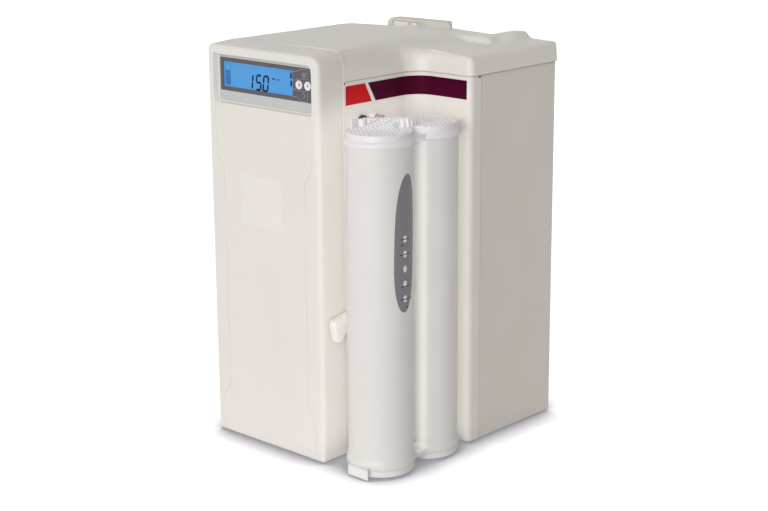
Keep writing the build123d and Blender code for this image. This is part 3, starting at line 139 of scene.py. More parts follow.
plastics = {   # for each slot: name, colour, shade, roughness, specular level, grain size and depth in mm
    "cream_plastic": ("cream_abs_moulded", "#EAE6E1", "#E7E3DD", 0.45),
    "cream_panel": ("cream_powder_coat", "#E2DDD6", "#DFDAD2", 0.5, 0.5, 1.6, 0.05),
    "white_plastic": ("white_abs_moulded", "#EEEDEF", "#EBEAEC", 0.42),
    "silver_plastic": ("silver_painted_plastic", "#C8CBCA", "#C2C5C4", 0.38, 0.5, 0.4, 0.01),
    "dark_print": ("grey_printed_polycarbonate", "#605D63", "#5B585E", 0.4, 0.2),
    "blue_screen": ("blue_backlit_screen", "#3F86C4", "#3B82C0", 0.25, 0.3),
    "white_label": ("white_vinyl_label", "#ECE9E5", "#E9E6E2", 0.35),
    "red_film": ("red_printed_vinyl", "#CC1E22", "#C61B1F", 0.5, 0.06),
    "plum_film": ("plum_printed_vinyl", "#4A0327", "#450224", 0.5, 0.05),
    "grey_label": ("grey_printed_vinyl", "#828084", "#7E7C80", 0.4, 0.3),
    "black_plastic": ("black_nylon_moulded", "#202022", "#1C1C1E", 0.45),
    "black_rubber": ("black_rubber_moulded", "#1B1B1C", "#171718", 0.7),
    "circuit_board": ("green_solder_mask", "#1F5E3A", "#1B5634", 0.3, 0.5, 1.2),
    "filter_media": ("amber_resin_beads", "#B98A4A", "#A97C40", 0.6, 0.5, 0.7, 0.3),
    "grey_plastic": ("grey_pp_moulded", "#8B8E92", "#868A8E", 0.5),
    "motor_paint": ("charcoal_motor_paint", "#34383C", "#303438", 0.4, 0.5, 2, 0.04)}
slotMaterials = {slot: mouldedPlastic(*row) for slot, row in plastics.items()}
slotMaterials.update(
    steel=workedMetal("bright_steel_turned", "#E6E3E0", 0.26, 0.4),
    zinc_sheet=workedMetal("zinc_plated_sheet", "#B5B9BC", 0.4, 1.5),
    brass_metal=workedMetal("brass_turned", "#C79F4C", 0.28, 0.4),
    clear_hose=newMaterial("clear_pvc_hose", Base_Color=linear("#E6ECEC"), Roughness=0.15, IOR=1.53,
                           Transmission_Weight=0.8)[0],   # see-through tube
    quartz=newMaterial("fused_quartz", Base_Color=linear("#F4F6F8"), Roughness=0.04, IOR=1.46,
                       Transmission_Weight=0.95)[0])   # lamp glass
whitePp = mouldedPlastic("white_pp_moulded", "#EFEEED", "#ECEBEA", 0.42)
whitePvc = mouldedPlastic("white_pvc_extruded", "#E7E5E2", "#E4E2DF", 0.4, 0.5, 2.4, 0.02)
# buff colour of the seam strips: painted shade for the dark line under the lid's overhang, and the line of
# the panel joint
seamLineAndShadeFoam = mouldedPlastic("buff_seam_line_and_shade", "#CCC2B8", "#C6BCB2", 0.8)
# a darker copy of the cream plastic, given to the handle grip so that it shows darker than the body
darkerCreamAbs = mouldedPlastic("darker_cream_abs_moulded", "#D6D1CB", "#D3CEC8", 0.45)
screenInk = mouldedPlastic("dark_lcd_segments", "#0B1730", "#0A152C", 0.4, 0.1)   # liquid crystal
levelInk = mouldedPlastic("blue_lcd_bars", "#2A63B4", "#275FAF", 0.4, 0.1)
lineInk = mouldedPlastic("grey_line_print", "#A9A8AD", "#A4A3A8", 0.45, 0.2)
glow = slotMaterials["blue_screen"].node_tree.nodes["Principled BSDF"]   # the screen is lit from behind
glow.inputs["Emission Color"].default_value = linear("#4F9EDB")
glow.inputs["Emission Strength"].default_value = 0.28
for row in frame["record"]["subparts"]:
    node = frame["nodes"][row["node"]]
    node.data.materials.clear()
    node.data.materials.append(slotMaterials.get(row["material_slot"], slotMaterials["cream_panel"]))
for name in ("pack_tube_front", "pack_tube_rear"):
    frame["nodes"][name].data.materials[0] = whitePvc
print("materials made")


def smooth(t):   # 3t^2 - 2t^3 on t held between 0 and 1
    t = np.clip(t, 0, 1)
    return t * t * (3 - 2 * t)


def ease(x, start, end):   # 0 at the start and 1 at the end, smooth between
    return smooth((x - start) / (end - start))


def mesa(x, a, b, c, d):   # rises from a to b and falls from c to d
    return ease(x, a, b) * ease(x, d, c)


def columns(*parts):   # arrays and plain numbers side by side along a new last axis
    return np.stack(np.broadcast_arrays(*parts), axis=-1)


def joined(*parts, axis=0):   # arrays end to end
    return np.concatenate(parts, axis=axis)


def apart(points):   # the coordinates one by one
    return np.moveaxis(points, -1, 0)


def spread(runs):   # even steps over several runs of start, end and count
    return joined(*[np.linspace(*run) for run in runs])


def spokes(angle):   # unit vectors at these angles
    return columns(np.cos(angle), np.sin(angle))


def arcAngles(start, end, count):   # angles in radians from degrees
    return np.radians(np.linspace(start, end, count))


def arcRun(x, y, radius, turn, edge, out=1):   # point, outward normal and edge radius along an arc
    ring = spokes(turn).T
    return columns(x + radius * ring[0], y + radius * ring[1], *out * ring, edge)


def rectangle(x0, y0, x1, y1):   # corners anticlockwise
    return [(x0, y0), (x1, y0), (x1, y1), (x0, y1)]


def gridPatch(points, closed=False):   # rows of points joined by quads; a closed row is a ring
    points = np.asarray(points, float)
    rows, cols = points.shape[:2]
    index = np.arange(rows * cols).reshape(rows, cols)
    if closed:
        index = joined(index, index[:, :1], axis=1)
    faces = columns(index[:-1, :-1], index[:-1, 1:], index[1:, 1:], index[1:, :-1]).reshape(-1, 4)
    return points.reshape(-1, 3), faces.tolist()


def solidPatch(points):   # rings of points joined by quads, with a flat face over both ends
    flat, faces = gridPatch(points, True)
    rows, cols = np.shape(points)[:2]
    ends = [list(range(cols))[::-1], list(range((rows - 1) * cols, rows * cols))]
    return flat, faces + ends


def carried(loop, normals, profile, plane="xy"):
    # (outward offset, height) pairs carried round a loop: loop + offset * normal, raised by height
    offset, height = np.asarray(profile, float).T
    flat = loop + offset[:, None, None] * normals
    (a, b), lift = apart(flat), height[:, None]
    return columns(*{"xy": (a, b, lift), "xz": (a, lift, b), "yz": (lift, a, b)}[plane])


def roundedLoop(corners, radii, step=6, arcPoints=7):
    # straight runs between corners given anticlockwise, each corner an arc tangent to both
    corners = np.asarray(corners, float)
    ahead = np.roll(corners, -1, axis=0) - corners
    ahead /= np.linalg.norm(ahead, axis=1)[:, None]
    into = np.roll(ahead, 1, axis=0)
    turn = np.arctan2(into[:, 0] * ahead[:, 1] - into[:, 1] * ahead[:, 0], (into * ahead).sum(axis=1))
    reach = (radii * np.tan(np.abs(turn) / 2))[:, None]
    starts, ends = corners - into * reach, corners + ahead * reach
    points, normals = [], []
    for i, angle in enumerate(turn[:, None] * np.linspace(0, 1, arcPoints)):
        side = np.array([into[i, 1], -into[i, 0]])
        centre = starts[i] - radii[i] * math.copysign(1, turn[i]) * side
        spin = np.stack([columns(np.cos(angle), -np.sin(angle)), columns(np.sin(angle), np.cos(angle))], 1)
        gap = starts[(i + 1) % len(corners)] - ends[i]
        pieces = int(np.linalg.norm(gap) // step)
        along = (np.arange(1, pieces + 1) / (pieces + 1))[:, None]
        points += [centre + spin @ (starts[i] - centre), ends[i] + along * gap]
        normals += [spin @ side, np.broadcast_to([ahead[i, 1], -ahead[i, 0]], (pieces, 2))]
    return joined(*points), joined(*normals)


def circleLoop(centre, radius, count):   # points and normals of a circle
    normals = spokes(2 * math.pi * np.arange(count) / count)
    return np.asarray(centre, float) + radius * normals, normals


def roundPatch(centre, profile, plane, count=48):   # a turned solid from (radius, height) pairs
    loop, normals = circleLoop(centre, 0, count)
    return solidPatch(carried(loop, normals, profile, plane))


def softBox(low, high, corner=1.5, edge=0.6):
    # a block with upright corners rounded in plan and top and bottom edges eased
    z0, z1, nip = low[2], high[2], 0.3 * edge
    loop, normals = roundedLoop(rectangle(*low[:2], *high[:2]), [corner] * 4)
    profile = [(-edge, z0), (-nip, z0 + nip), (0, z0 + edge), (0, z1 - edge), (-nip, z1 - nip), (-edge, z1)]
    return solidPatch(carried(loop, normals, profile))


def makePiece(name, patches, slot, material=None, body="cabinet", replaces=(), sharp=35, wall=0,
              facing=None):
    # patches joined, doubles merged, faces turned outwards; facing names the side an open shell shows
    points, faces, start = [], [], 0
    for patchPoints, patchFaces in patches:
        points.append(np.asarray(patchPoints, float))
        faces += [[corner + start for corner in face] for face in patchFaces]
        start += len(patchPoints)
    mesh = bpy.data.meshes.new(name)
    mesh.from_pydata(toFrame(joined(*points)).tolist(), [], faces)
    shape = bmesh.new()
    shape.from_mesh(mesh)
    bmesh.ops.remove_doubles(shape, verts=shape.verts, dist=4e-6)
    bmesh.ops.dissolve_degenerate(shape, edges=shape.edges, dist=1e-6)
    bmesh.ops.recalc_face_normals(shape, faces=shape.faces)
    if facing:
        side = Vector(facing)
        outermost = max(shape.faces, key=lambda face: face.calc_center_median().dot(side))
        if outermost.normal.dot(side) < 0:
            bmesh.ops.reverse_faces(shape, faces=shape.faces)
    shape.to_mesh(mesh)
    shape.free()
    mesh.shade_smooth()
    mesh.set_sharp_from_angle(angle=math.radians(sharp))
    mesh.materials.append(material or slotMaterials[slot])
    piece = addObject(name, mesh)
    if wall:
        shell = piece.modifiers.new("wall", "SOLIDIFY")
        shell.thickness, shell.offset = wall / 1000, -1
    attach(piece, body)
    if replaces:
        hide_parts(*replaces)


frontCover = dict(
    width=206.6, height=545, seam=46, leftEdge=3, topEdge=4.5, rightEdge=7, bottomEdge=1.4, leftGrow=15,
    rightGrow=9, leftCorner=8, rightCorner=18, topFall=3, fallFrom=531, window=(12.8, 194, 465.5, 529.5),
    windowCorners=(4, 8), rim=1.2, tunnel=((0, 7.6), (-1.3, 8), (-1.3, 13)), leftDraft=4, draftDepth=9,
    margin=12.8, waistMargin=26.6, steps=(396.5, 376.5, 70, 50), panelTop=463.4, panelFade=1.2, groove=1.8,
    grooveDepth=1.05, grooveSteep=1.7, join=464, wall=2.2,
    rows=((2.5, 11, 6), (14, 44, 4), (46, 74, 15), (80, 370, 20), (373, 400, 14), (406, 456, 6)),
    joinRows=(460, 461.6, 462.2, 462.6, 463, 463.4),
    back=((0, 20), (0, 40), (0.2, 44), (0.5, 45.5), (1, 46)))


def panelMargin(z):   # the panel's side margin: wide at the waist, blended between the four step heights
    high, waistTop, waistLow, low = frontCover["steps"]
    waisted = np.clip((high - z) / (high - waistTop), 0, 1) * np.clip((z - low) / (waistLow - low), 0, 1)
    return frontCover["margin"] + (frontCover["waistMargin"] - frontCover["margin"]) * waisted


def frontCoverPatches():
    # outline with a quarter-round of varying radius, a grid with a groove round the waisted panel, a frame
    # ruled between outline and window, and the window's rim and tunnel carried back from it
    c = frontCover
    wide, tall, small = c["width"], c["height"], c["bottomEdge"]
    leftR, rightR = c["leftCorner"], c["rightCorner"]
    zRows = np.unique(joined([small, *c["joinRows"], c["join"]], spread(c["rows"])))
    left = small + (c["leftEdge"] - small) * smooth(zRows / c["leftGrow"])
    right = small + (c["rightEdge"] - small) * smooth(zRows / c["rightGrow"])
    margin, half = panelMargin(zRows)[:, None], c["groove"] / 2
    inLeft, inRight = left[:, None], (wide - right)[:, None]
    across = c["groove"] * np.linspace(0, 1, 7)[None] - half
    panelX = (wide - 2 * margin - 2 * half) * np.linspace(0, 1, 16)[None, 1:-1]
    nearEdge = inLeft + np.array([[0, 0.5]]) * (margin - half - inLeft)
    farEdge = wide - margin + half + np.array([[0.5, 1]]) * (inRight - wide + margin - half)
    x = joined(nearEdge, margin + across, margin + half + panelX, wide - margin + across, farEdge, axis=1)
    near = np.minimum(np.abs(x - margin), np.abs(wide - margin - x)) / half
    fade = smooth((c["panelTop"] - zRows[:, None]) / c["panelFade"])
    lower = columns(x, c["grooveDepth"] * smooth(c["grooveSteep"] * (1 - near)) * fade, zRows[:, None])
    upLeft = np.linspace(c["join"], tall - leftR, 9)[1:]
    upRight = np.linspace(tall - rightR, c["join"], 8)[:-1]
    topX = np.linspace(leftR, wide - rightR, 30)[1:-1]
    leftTurn, rightTurn = arcAngles(180, 90, 12)[1:], arcAngles(90, 0, 16)[:-1]
    floorX = lower[0, ::-1, 0][1:-1]
    runs = [   # point, outward normal and edge radius along each run of the outline
        columns(0, zRows, -1, 0, left),
        columns(0, upLeft, -1, 0, c["leftEdge"]),
        arcRun(leftR, tall - leftR, leftR, leftTurn, np.linspace(c["leftEdge"], c["topEdge"], len(leftTurn))),
        columns(topX, tall, 0, 1, c["topEdge"]),
        arcRun(wide - rightR, tall - rightR, rightR, rightTurn,
               np.linspace(c["topEdge"], c["rightEdge"], len(rightTurn))),
        columns(wide, upRight, 1, 0, c["rightEdge"]),
        columns(wide, zRows[::-1], 1, 0, right[::-1]),
        arcRun(wide - small, small, small, arcAngles(0, -90, 6)[1:-1], small),
        columns(joined([wide - small], floorX, [small]), 0, 0, -1, small),
        arcRun(small, small, small, arcAngles(-90, -180, 6)[1:-1], small)]
    outline = joined(*runs)
    loop, normals, radius = outline[:, :2], outline[:, 2:4], outline[:, 4]
    starts = np.cumsum([0] + [len(run) for run in runs])
    sink = np.zeros(len(loop))
    sink[starts[8] + 1:starts[9] - 1] = lower[0, ::-1, 1][1:-1]   # the grooves run out through the lower edge
    theta = arcAngles(0, 90, 8)[:, None]
    back = np.tile(np.array(c["back"])[:, None], (1, len(loop), 1))
    inset = joined(radius * (1 - np.sin(theta)), back[..., 0])
    depth = joined(sink + radius * (1 - np.cos(theta)), back[..., 1])
    flat = loop - inset[..., None] * normals
    edge = columns(flat[..., 0], depth, flat[..., 1])
    outer = joined(flat[0, len(zRows) - 1:starts[6] + 1], lower[-1, ::-1, ::2][1:-1])
    x0, x1, z0, z1 = c["window"]
    upperRight = (outer[:, 0] > (x0 + x1) / 2) & (outer[:, 1] > (z0 + z1) / 2)
    corner = np.where(upperRight, *c["windowCorners"][::-1])
    core = columns(np.clip(outer[:, 0], x0 + corner, x1 - corner),
                   np.clip(outer[:, 1], z0 + corner, z1 - corner))
    away = outer - core
    away /= np.linalg.norm(away, axis=1)[:, None]
    hole = core + corner[:, None] * away
    draft = c["leftDraft"] * np.clip(-away[:, :1], 0, 1)   # the window's left wall leans outwards
    blend = np.linspace(0, 1, 6)[:, None, None]
    ruled = outer * (1 - blend) + (hole + (c["rim"] + draft) * away) * blend
    turn = arcAngles(0, 90, 6)
    rim = joined(c["rim"] * (1 - columns(np.sin(turn), np.cos(turn))), c["tunnel"])
    tunnel = carried(hole, away, rim, "xz")
    tunnel[..., ::2] += np.clip(1 - rim[:, 1] / c["draftDepth"], 0, 1)[:, None, None] * draft * away
    face = columns(ruled[..., 0], 0, ruled[..., 1])
    patches = [gridPatch(lower), gridPatch(edge, True), gridPatch(face, True), gridPatch(tunnel, True)]
    for points, _ in patches:   # the top of the cover falls towards its front edge
        lifted = np.clip((points[:, 2] - c["fallFrom"]) / (tall - c["fallFrom"]), 0, 1)
        points[:, 2] -= c["topFall"] * (1 - np.clip(points[:, 1] / c["seam"], 0, 1)) * lifted
    return patches


makePiece("front_shell", frontCoverPatches(), "cream_plastic", replaces=("front_cover",),
          wall=frontCover["wall"], facing=(0, -1, 0))

seamBead = dict(
    low=2, left=12, wall=0.3,
    profile=((-3, 45.5), (0.35, 45.55), (0.5, 45.8), (0.5, 46.3), (0, 46.9), (-3, 46.9)))
wide, tall, reach = (frontCover[key] for key in ("width", "height", "rightCorner"))
turn = arcRun(wide - reach, tall - reach, reach, arcAngles(0, 90, 20), 0)
seam = joined([[wide, seamBead["low"], 1, 0, 0]], turn, [[seamBead["left"], tall, 0, 1, 0]])
bead = carried(seam[:, :2], seam[:, 2:4], seamBead["profile"], "xz")   # bright lip along the joint
makePiece("seam_bead", [gridPatch(bead)], "cream_plastic", wall=seamBead["wall"], facing=(1, 0, 0))
print("front shell made")

lid = dict(
    left=0, front=46.1, right=301.6, back=371, notchX=206.6, notchY=186.5, concave=30, stripCorner=8, rim=8,
    backCorner=5, tighten=40, softRim=(17.5, 24, 14, 5), bottom=505.6, flare=1.4,
    skirt=((1, 0.6), (0.8, 0.15), (0.3, 0)), plateau=545, shoulder=(185, 232), shoulderFall=12,
    shoulderShift=27, shiftY=(50, 160), shiftShare=0.4, shelfSlope=-0.0359, rampStart=258,
    rampSlope=(0.142, 0.086, 0.116), rampSoft=6, swellLeft=(20, 80), swellRight=(70, 230), joinSoft=1.2,
    deckX=(138, 162, 242, 258), deckY=(280, 292), cornerX=(242, 258), cornerY=(292, 352), cornerLift=2.2,
    humpX=(194, 244, 252.5, 266), humpY=(296, 345, 359, 365), humpTop=543.5, rowEnds=(160, 197, 207, 213),
    crowding=1.4, wall=2.4)


def lidHeight(x, y):
    # the lower of the plateau with its shoulder and the back ramp, softly joined; behind a low front slope
    # the ramp runs on over the shelf as a deck, and the hump rises from the deck as a soft wave
    c = lid
    shift = c["shoulderShift"] * ease(y, *c["shiftY"])
    x0, x1 = c["shoulder"][0] - shift, c["shoulder"][1] - c["shiftShare"] * shift
    t = np.clip((x - x0) / (x1 - x0), 0, 1)
    shelf = c["shelfSlope"] * ((x1 - x0) * (t ** 3 - t ** 2) + np.maximum(x - x1, 0))
    plateau = c["plateau"] - c["shoulderFall"] * smooth(t) + shelf
    steep, soft, far = c["rampSlope"]   # the ramp is steepest at the left and swells up before the handle
    slope = steep + (soft - steep) * ease(x, *c["swellLeft"]) + (far - soft) * ease(x, *c["swellRight"])
    ramp = c["plateau"] - slope * c["rampSoft"] * np.logaddexp(0, (y - c["rampStart"]) / c["rampSoft"])
    base = -c["joinSoft"] * np.logaddexp(-plateau / c["joinSoft"], -ramp / c["joinSoft"])
    deck = base + np.maximum(ramp - base, 0) * mesa(x, *c["deckX"]) * ease(y, *c["deckY"])
    deck = deck + c["cornerLift"] * ease(x, *c["cornerX"]) * ease(y, *c["cornerY"])   # higher back corner
    return deck + mesa(x, *c["humpX"]) * mesa(y, *c["humpY"]) * np.maximum(c["humpTop"] - deck, 0)


def notchDrop(x, y):
    # fall of the soft rim along the notch: a quarter-round of the distance to the block's side, the hollow
    # corner or the back wall, its radius growing towards the corner and shrinking along the wall
    c = lid
    first, deep, end, last = c["softRim"]
    centreX, centreY = c["notchX"] + c["concave"], c["notchY"] - c["concave"]
    beside, behind = y < centreY, x > centreX
    angle = np.arctan2(np.maximum(y - centreY, 0), np.maximum(centreX - x, 1e-6)) / quarter
    hollow = np.hypot(x - centreX, y - centreY) - c["concave"]
    gap = np.where(beside, c["notchX"] - x, np.where(behind, y - c["notchY"], hollow))
    along = first + (deep - first) * ease(y, c["front"], centreY)
    wall = end + (last - end) * ease(x, centreX, c["right"] - c["stripCorner"])
    radius = np.where(beside, along, np.where(behind, wall, deep + (end - deep) * smooth(angle)))
    reach = np.clip(radius - gap, 0, radius)
    return radius - np.sqrt(radius ** 2 - reach ** 2)


def rimRadius(y):   # radius of the side rims, which shrinks to the back corner's
    end = lid["back"] - lid["backCorner"]
    return lid["rim"] + (lid["backCorner"] - lid["rim"]) * ease(y, end - lid["tighten"], end)


def lidPatches():
    # rows ruled from the left rim to the right rim, which follows the notch; quarter-rounds along the edge
    c = lid
    endR, hollow, strip, last = c["backCorner"], c["concave"], c["stripCorner"], c["softRim"][3]
    yLow, yHigh = c["front"], c["back"] - endR
    y = joined(yLow + np.array([0, 0.3, 1]), np.linspace(yLow + 4, c["notchY"] - hollow, 28)[:-1])
    x = np.linspace(c["notchX"] + hollow, c["right"] - strip, 18)[1:-1]
    farY = np.linspace(c["notchY"] + strip, yHigh, 58)[1:]
    runs = [   # point, outward normal and rim radius along each run of the right edge
        columns(c["notchX"], y, 1, 0, last),
        arcRun(c["notchX"] + hollow, c["notchY"] - hollow, hollow, arcAngles(180, 90, 22), last, -1),
        columns(x, c["notchY"], 0, -1, last),
        arcRun(c["right"] - strip, c["notchY"] + strip, strip, arcAngles(-90, 0, 10),
               np.linspace(last, c["rim"], 10)),
        columns(c["right"], farY, 1, 0, rimRadius(farY))]
    rightEdge = joined(*runs)
    marks = np.cumsum([0] + [len(run) for run in runs])
    rows = np.interp(np.arange(len(rightEdge)), [0, 2, *marks[1:5], len(rightEdge) - 1],
                     [yLow, yLow + 1, *c["rowEnds"], yHigh])   # rows never cross behind the notch
    leftEdge = columns(c["left"], rows, -1, 0, rimRadius(rows))
    insetLeft, insetRight = (side[:, None, :2] - side[:, None, 4:] * side[:, None, 2:4]
                             for side in (leftEdge, rightEdge))
    along = (1 - (1 - np.linspace(0, 1, 110)) ** c["crowding"])[:, None]   # closer columns at the right
    plan = insetLeft * (1 - along) + insetRight * along
    path = joined(leftEdge, arcRun(c["left"] + endR, yHigh, endR, arcAngles(180, 90, 12)[1:], endR),
                  columns(plan[-1, 1:-1, 0], c["back"], 0, 1, endR),
                  arcRun(c["right"] - endR, yHigh, endR, arcAngles(90, 0, 12)[:-1], endR), rightEdge[::-1])
    spot, out, radius = path[:, :2], path[:, 2:4], path[:, 4]
    theta = arcAngles(0, 90, 9)[:, None]
    flat = spot - (radius * (1 - np.sin(theta)))[..., None] * out
    fall = radius * (1 - np.cos(theta))
    soft = len(path) - marks[3]   # the notch's own runs stand last on the path
    fall[:, soft:] = notchDrop(*apart(flat[:, soft:]))
    lift = lidHeight(*apart(flat)) - fall
    flare, raised = np.array(c["skirt"]).T[..., None]   # the skirt flares out over the panels
    skirt = columns(*apart(spot + c["flare"] * flare[..., None] * out), c["bottom"] + raised)
    edge = joined(columns(*apart(flat), lift), skirt)
    height = lidHeight(*apart(plan))
    height[:marks[3]] -= notchDrop(*apart(plan[:marks[3]]))
    return [gridPatch(columns(*apart(plan), height)), gridPatch(edge)], rightEdge


lidTop, lidLine = lidPatches()
makePiece("lid_shell", lidTop, "cream_plastic", replaces=("top_cover",), wall=lid["wall"], facing=(0, 0, 1))

# darker strips at the seams: the one along the notch paints the shaded line under the lid's overhang, the
# upright one lines the joint of the strip and the right panel
seamLineAndShade = dict(
    profile=((-2, 504.1), (0.3, 504.1), (0.3, 505.5), (-2, 505.5)),
    upright=((299, 207.9, 3), (300.95, 208.7, 501), 0.1, 0.1))
strip = np.swapaxes(carried(lidLine[2:, :2], lidLine[2:, 2:4], seamLineAndShade["profile"]), 0, 1)
makePiece("lid_seam_line_and_shade", [solidPatch(strip), softBox(*seamLineAndShade["upright"])], "black_rubber", seamLineAndShadeFoam)
print("lid shell made")

packCap = dict(   # boxes: lug, boss of the nozzle, step beside it, upright plate
    axisX=269.3, axisY=(45, 132.6), neck=42.4, fillet=8, floor=450.9,
    profile=((0.6, 434.7), (2.6, 434.8), (3.4, 435.4), (3.8, 436.5), (3.9, 437.9), (3.7, 439.9), (3, 441.6),
        (1.9, 442.5), (0.9, 443.3), (0.2, 444.2), (0, 445.2), (0, 450.8), (-0.3, 451.4), (-0.9, 451.6),
        (-1.5, 451.6), (-1.9, 451.4), (-2.2, 450.9)),
    ridgeTop=462, ridgeHalf=52, ridgeLeft=241, ridgeInset=2, ridgeNip=0.6,
    ridgeRight=((36, 264), (60, 266), (78, 269.5), (86, 277), (92, 280), (100, 280), (110, 278),
        (142, 277)),
    lean=(1, 7), leanY=(8, 28), ribs=10, ribPitch=5.2, ribOut=2.2, ribWide=2.8, ribFoot=446, ribBelow=0.5,
    padPitch=(7.8, 6.6), padSize=(4.8, 5.4), padHigh=0.85, padTaper=1.5, padEdge=5.4, sunk=0.8,
    boxes=(((290, 77.5, 435.2), (300.4, 103, 442.6)), ((226.5, 71.2, 443), (243, 88, 458.4), 4, 1.2),
        ((228.4, 79, 443), (246, 104, 455), 3, 1.2), ((229.6, 33.5, 449), (232.6, 43.5, 461.4), 1, 0.8)),
    cup=(231, 46.5, 238.5, 59.5), cupRadii=(1, 6, 6, 1),
    cupProfile=((0, 449), (0, 460.4), (-0.4, 461), (-1, 461.2), (-1.6, 461), (-1.9, 460.2), (-2, 455)))
packMiddle = sum(packCap["axisY"]) / 2
packHalf = (packCap["axisY"][1] - packCap["axisY"][0]) / 2
waistReach = packCap["neck"] + packCap["fillet"]
waistSide = math.sqrt(waistReach ** 2 - packHalf ** 2)   # how far the fillets' centres stand from the axes


def packLoop():
    # two circles joined by hollow fillets at the waist, centred where circle and fillet radii add up
    c = packCap
    lean = math.asin(waistSide / waistReach)   # angle of the tangent point from the line of the axes
    front = spokes(np.linspace(quarter + lean, 5 * quarter - lean, 40))
    waist = spokes(np.linspace(quarter - lean, lean - quarter, 12)[1:-1])
    points, normals = [], []
    for side, y in zip((1, -1), c["axisY"]):
        points.append((c["axisX"], y) + side * c["neck"] * front)
        points.append((c["axisX"] + side * waistSide, packMiddle) - side * c["fillet"] * waist)
        normals += [side * front, side * waist]
    return joined(*points), joined(*normals)


def toSpine(loop):   # for each point of the loop the nearest spot on the line between the axes
    return columns(packCap["axisX"], np.clip(loop[:, 1], *packCap["axisY"]))


def endFace(ring, loop):   # a flat face from a ring to the line between the axes
    return gridPatch(np.stack([ring, columns(*toSpine(loop).T, ring[:, 2])]), True)


def neckHalf(y):   # half width of the neck at y, from the two circles and the waist fillets
    away = np.abs(y - packMiddle)
    circles = np.sqrt(np.maximum(packCap["neck"] ** 2 - (away - packHalf) ** 2, 0))
    waist = waistSide - np.sqrt(np.maximum(packCap["fillet"] ** 2 - away ** 2, 0))
    return np.where(away < packHalf * packCap["fillet"] / waistReach, waist, circles)


def ridgeHeight(y):   # the gable over the waist: highest in the middle, falling evenly to both ends
    rise = packCap["ridgeTop"] - packCap["floor"]
    return packCap["floor"] + rise * np.clip(1 - np.abs(y - packMiddle) / packCap["ridgeHalf"], 0, 1)


def ridgeSide(y):   # the gable's ribbed side, set back over the front round
    return np.interp(y, *np.array(packCap["ridgeRight"]).T)


def ridgeLean(y):   # how far that side leans out at its foot: upright over the waist, sloping at both ends
    least, most = packCap["lean"]
    return least + (most - least) * ease(np.abs(y - packMiddle), *packCap["leanY"])


def blocks(centres, size, taper, foot):
    # a small pad for each centre: a rectangle at the foot and a smaller one on top
    corners = np.array(rectangle(-0.5, -0.5, 0.5, 0.5))
    crown = corners * (np.array(size) - taper)
    pad = joined(columns(*apart(corners * size), foot), columns(*apart(crown), 0))
    faces = np.array([[0, 3, 2, 1], [4, 5, 6, 7], [0, 1, 5, 4], [1, 2, 6, 5], [2, 3, 7, 6], [3, 0, 4, 7]])
    faces = faces + 8 * np.arange(len(centres))[:, None, None]
    return (centres[:, None] + pad).reshape(-1, 3), faces.reshape(-1, 4).tolist()


def packCapPatches():
    # collar and rim carried round the loop, a floor shrunk to the line of the axes, the ribbed gable as an
    # upright section at each y, and rows of pads
    c = packCap
    loop, normals = packLoop()
    skirt = carried(loop, normals, c["profile"])
    shrink = np.linspace(0, 1, 8)[:, None, None]
    disc = skirt[-1, :, :2] * (1 - shrink) + toSpine(loop) * shrink
    disc = columns(*apart(disc), c["floor"])
    patches = [gridPatch(skirt, True), gridPatch(disc, True), endFace(skirt[0], loop)]
    y = np.linspace(packMiddle - c["ridgeHalf"], packMiddle + c["ridgeHalf"], 61)
    left = np.maximum(c["axisX"] - neckHalf(y) + c["ridgeInset"], c["ridgeLeft"])
    right, top, nip = ridgeSide(y), ridgeHeight(y), c["ridgeNip"]
    far = right + ridgeLean(y)
    section = [(left, c["ribFoot"]), (left, top), (right - nip, top), (right, top - nip),
               (far, np.minimum(top - nip - 0.1, c["floor"])), (far, c["ribFoot"])]
    patches.append(solidPatch(np.stack([columns(x, y, z) for x, z in section], 1)))
    for spot in packMiddle + c["ribPitch"] * np.arange(-c["ribs"], c["ribs"] + 1):
        high = ridgeHeight(spot) - c["ribBelow"]   # each rib stands out from the leaning side
        if high < c["floor"] + 0.4:
            continue
        near, out, low = ridgeSide(spot), c["ribOut"], c["floor"] - c["sunk"]
        far = near + ridgeLean(spot) + out
        outline = np.array([(near - 1, low), (near - 1, high), (near + 0.5 * out, high),
                            (near + out, high - 0.4), (far, c["floor"] + 0.3), (far, low)])
        rings = [columns(outline[:, 0], spot + side * c["ribWide"] / 2, outline[:, 1]) for side in (-1, 1)]
        patches.append(solidPatch(np.stack(rings)))
    px, py = c["padPitch"]
    x, y = np.meshgrid(px * (np.arange(-6, 6) + 0.5), py * (np.arange(-14, 14) + 0.5))
    x, y = c["axisX"] + x.ravel(), packMiddle + y.ravel()
    side, top = ridgeSide(y), ridgeHeight(y)
    inside = np.abs(x - c["axisX"]) < neckHalf(y) - c["padEdge"]
    inside &= np.abs(np.abs(y - packMiddle) - packHalf) < c["neck"] - c["padEdge"]
    edge = (x > side - 4) & (x < side + ridgeLean(y) + 4)
    inside &= ~(edge & (top > c["floor"] + 0.3))   # no pads across the gable's edge
    roof = (x > c["ridgeLeft"] + 2) & (x < side - 3.2)
    pads = columns(x, y, np.where(roof, top, c["floor"]) + c["padHigh"])[inside]
    patches.append(blocks(pads, c["padSize"], c["padTaper"], -c["padHigh"] - c["sunk"]))
    cup = roundedLoop(rectangle(*c["cup"]), c["cupRadii"])
    return patches + [softBox(*box) for box in c["boxes"]] + [solidPatch(carried(*cup, c["cupProfile"]))]


makePiece("pack_crown", packCapPatches(), "white_plastic", body="pack", replaces=("pack_top_cap",),
          sharp=30)
print("pack crown made")

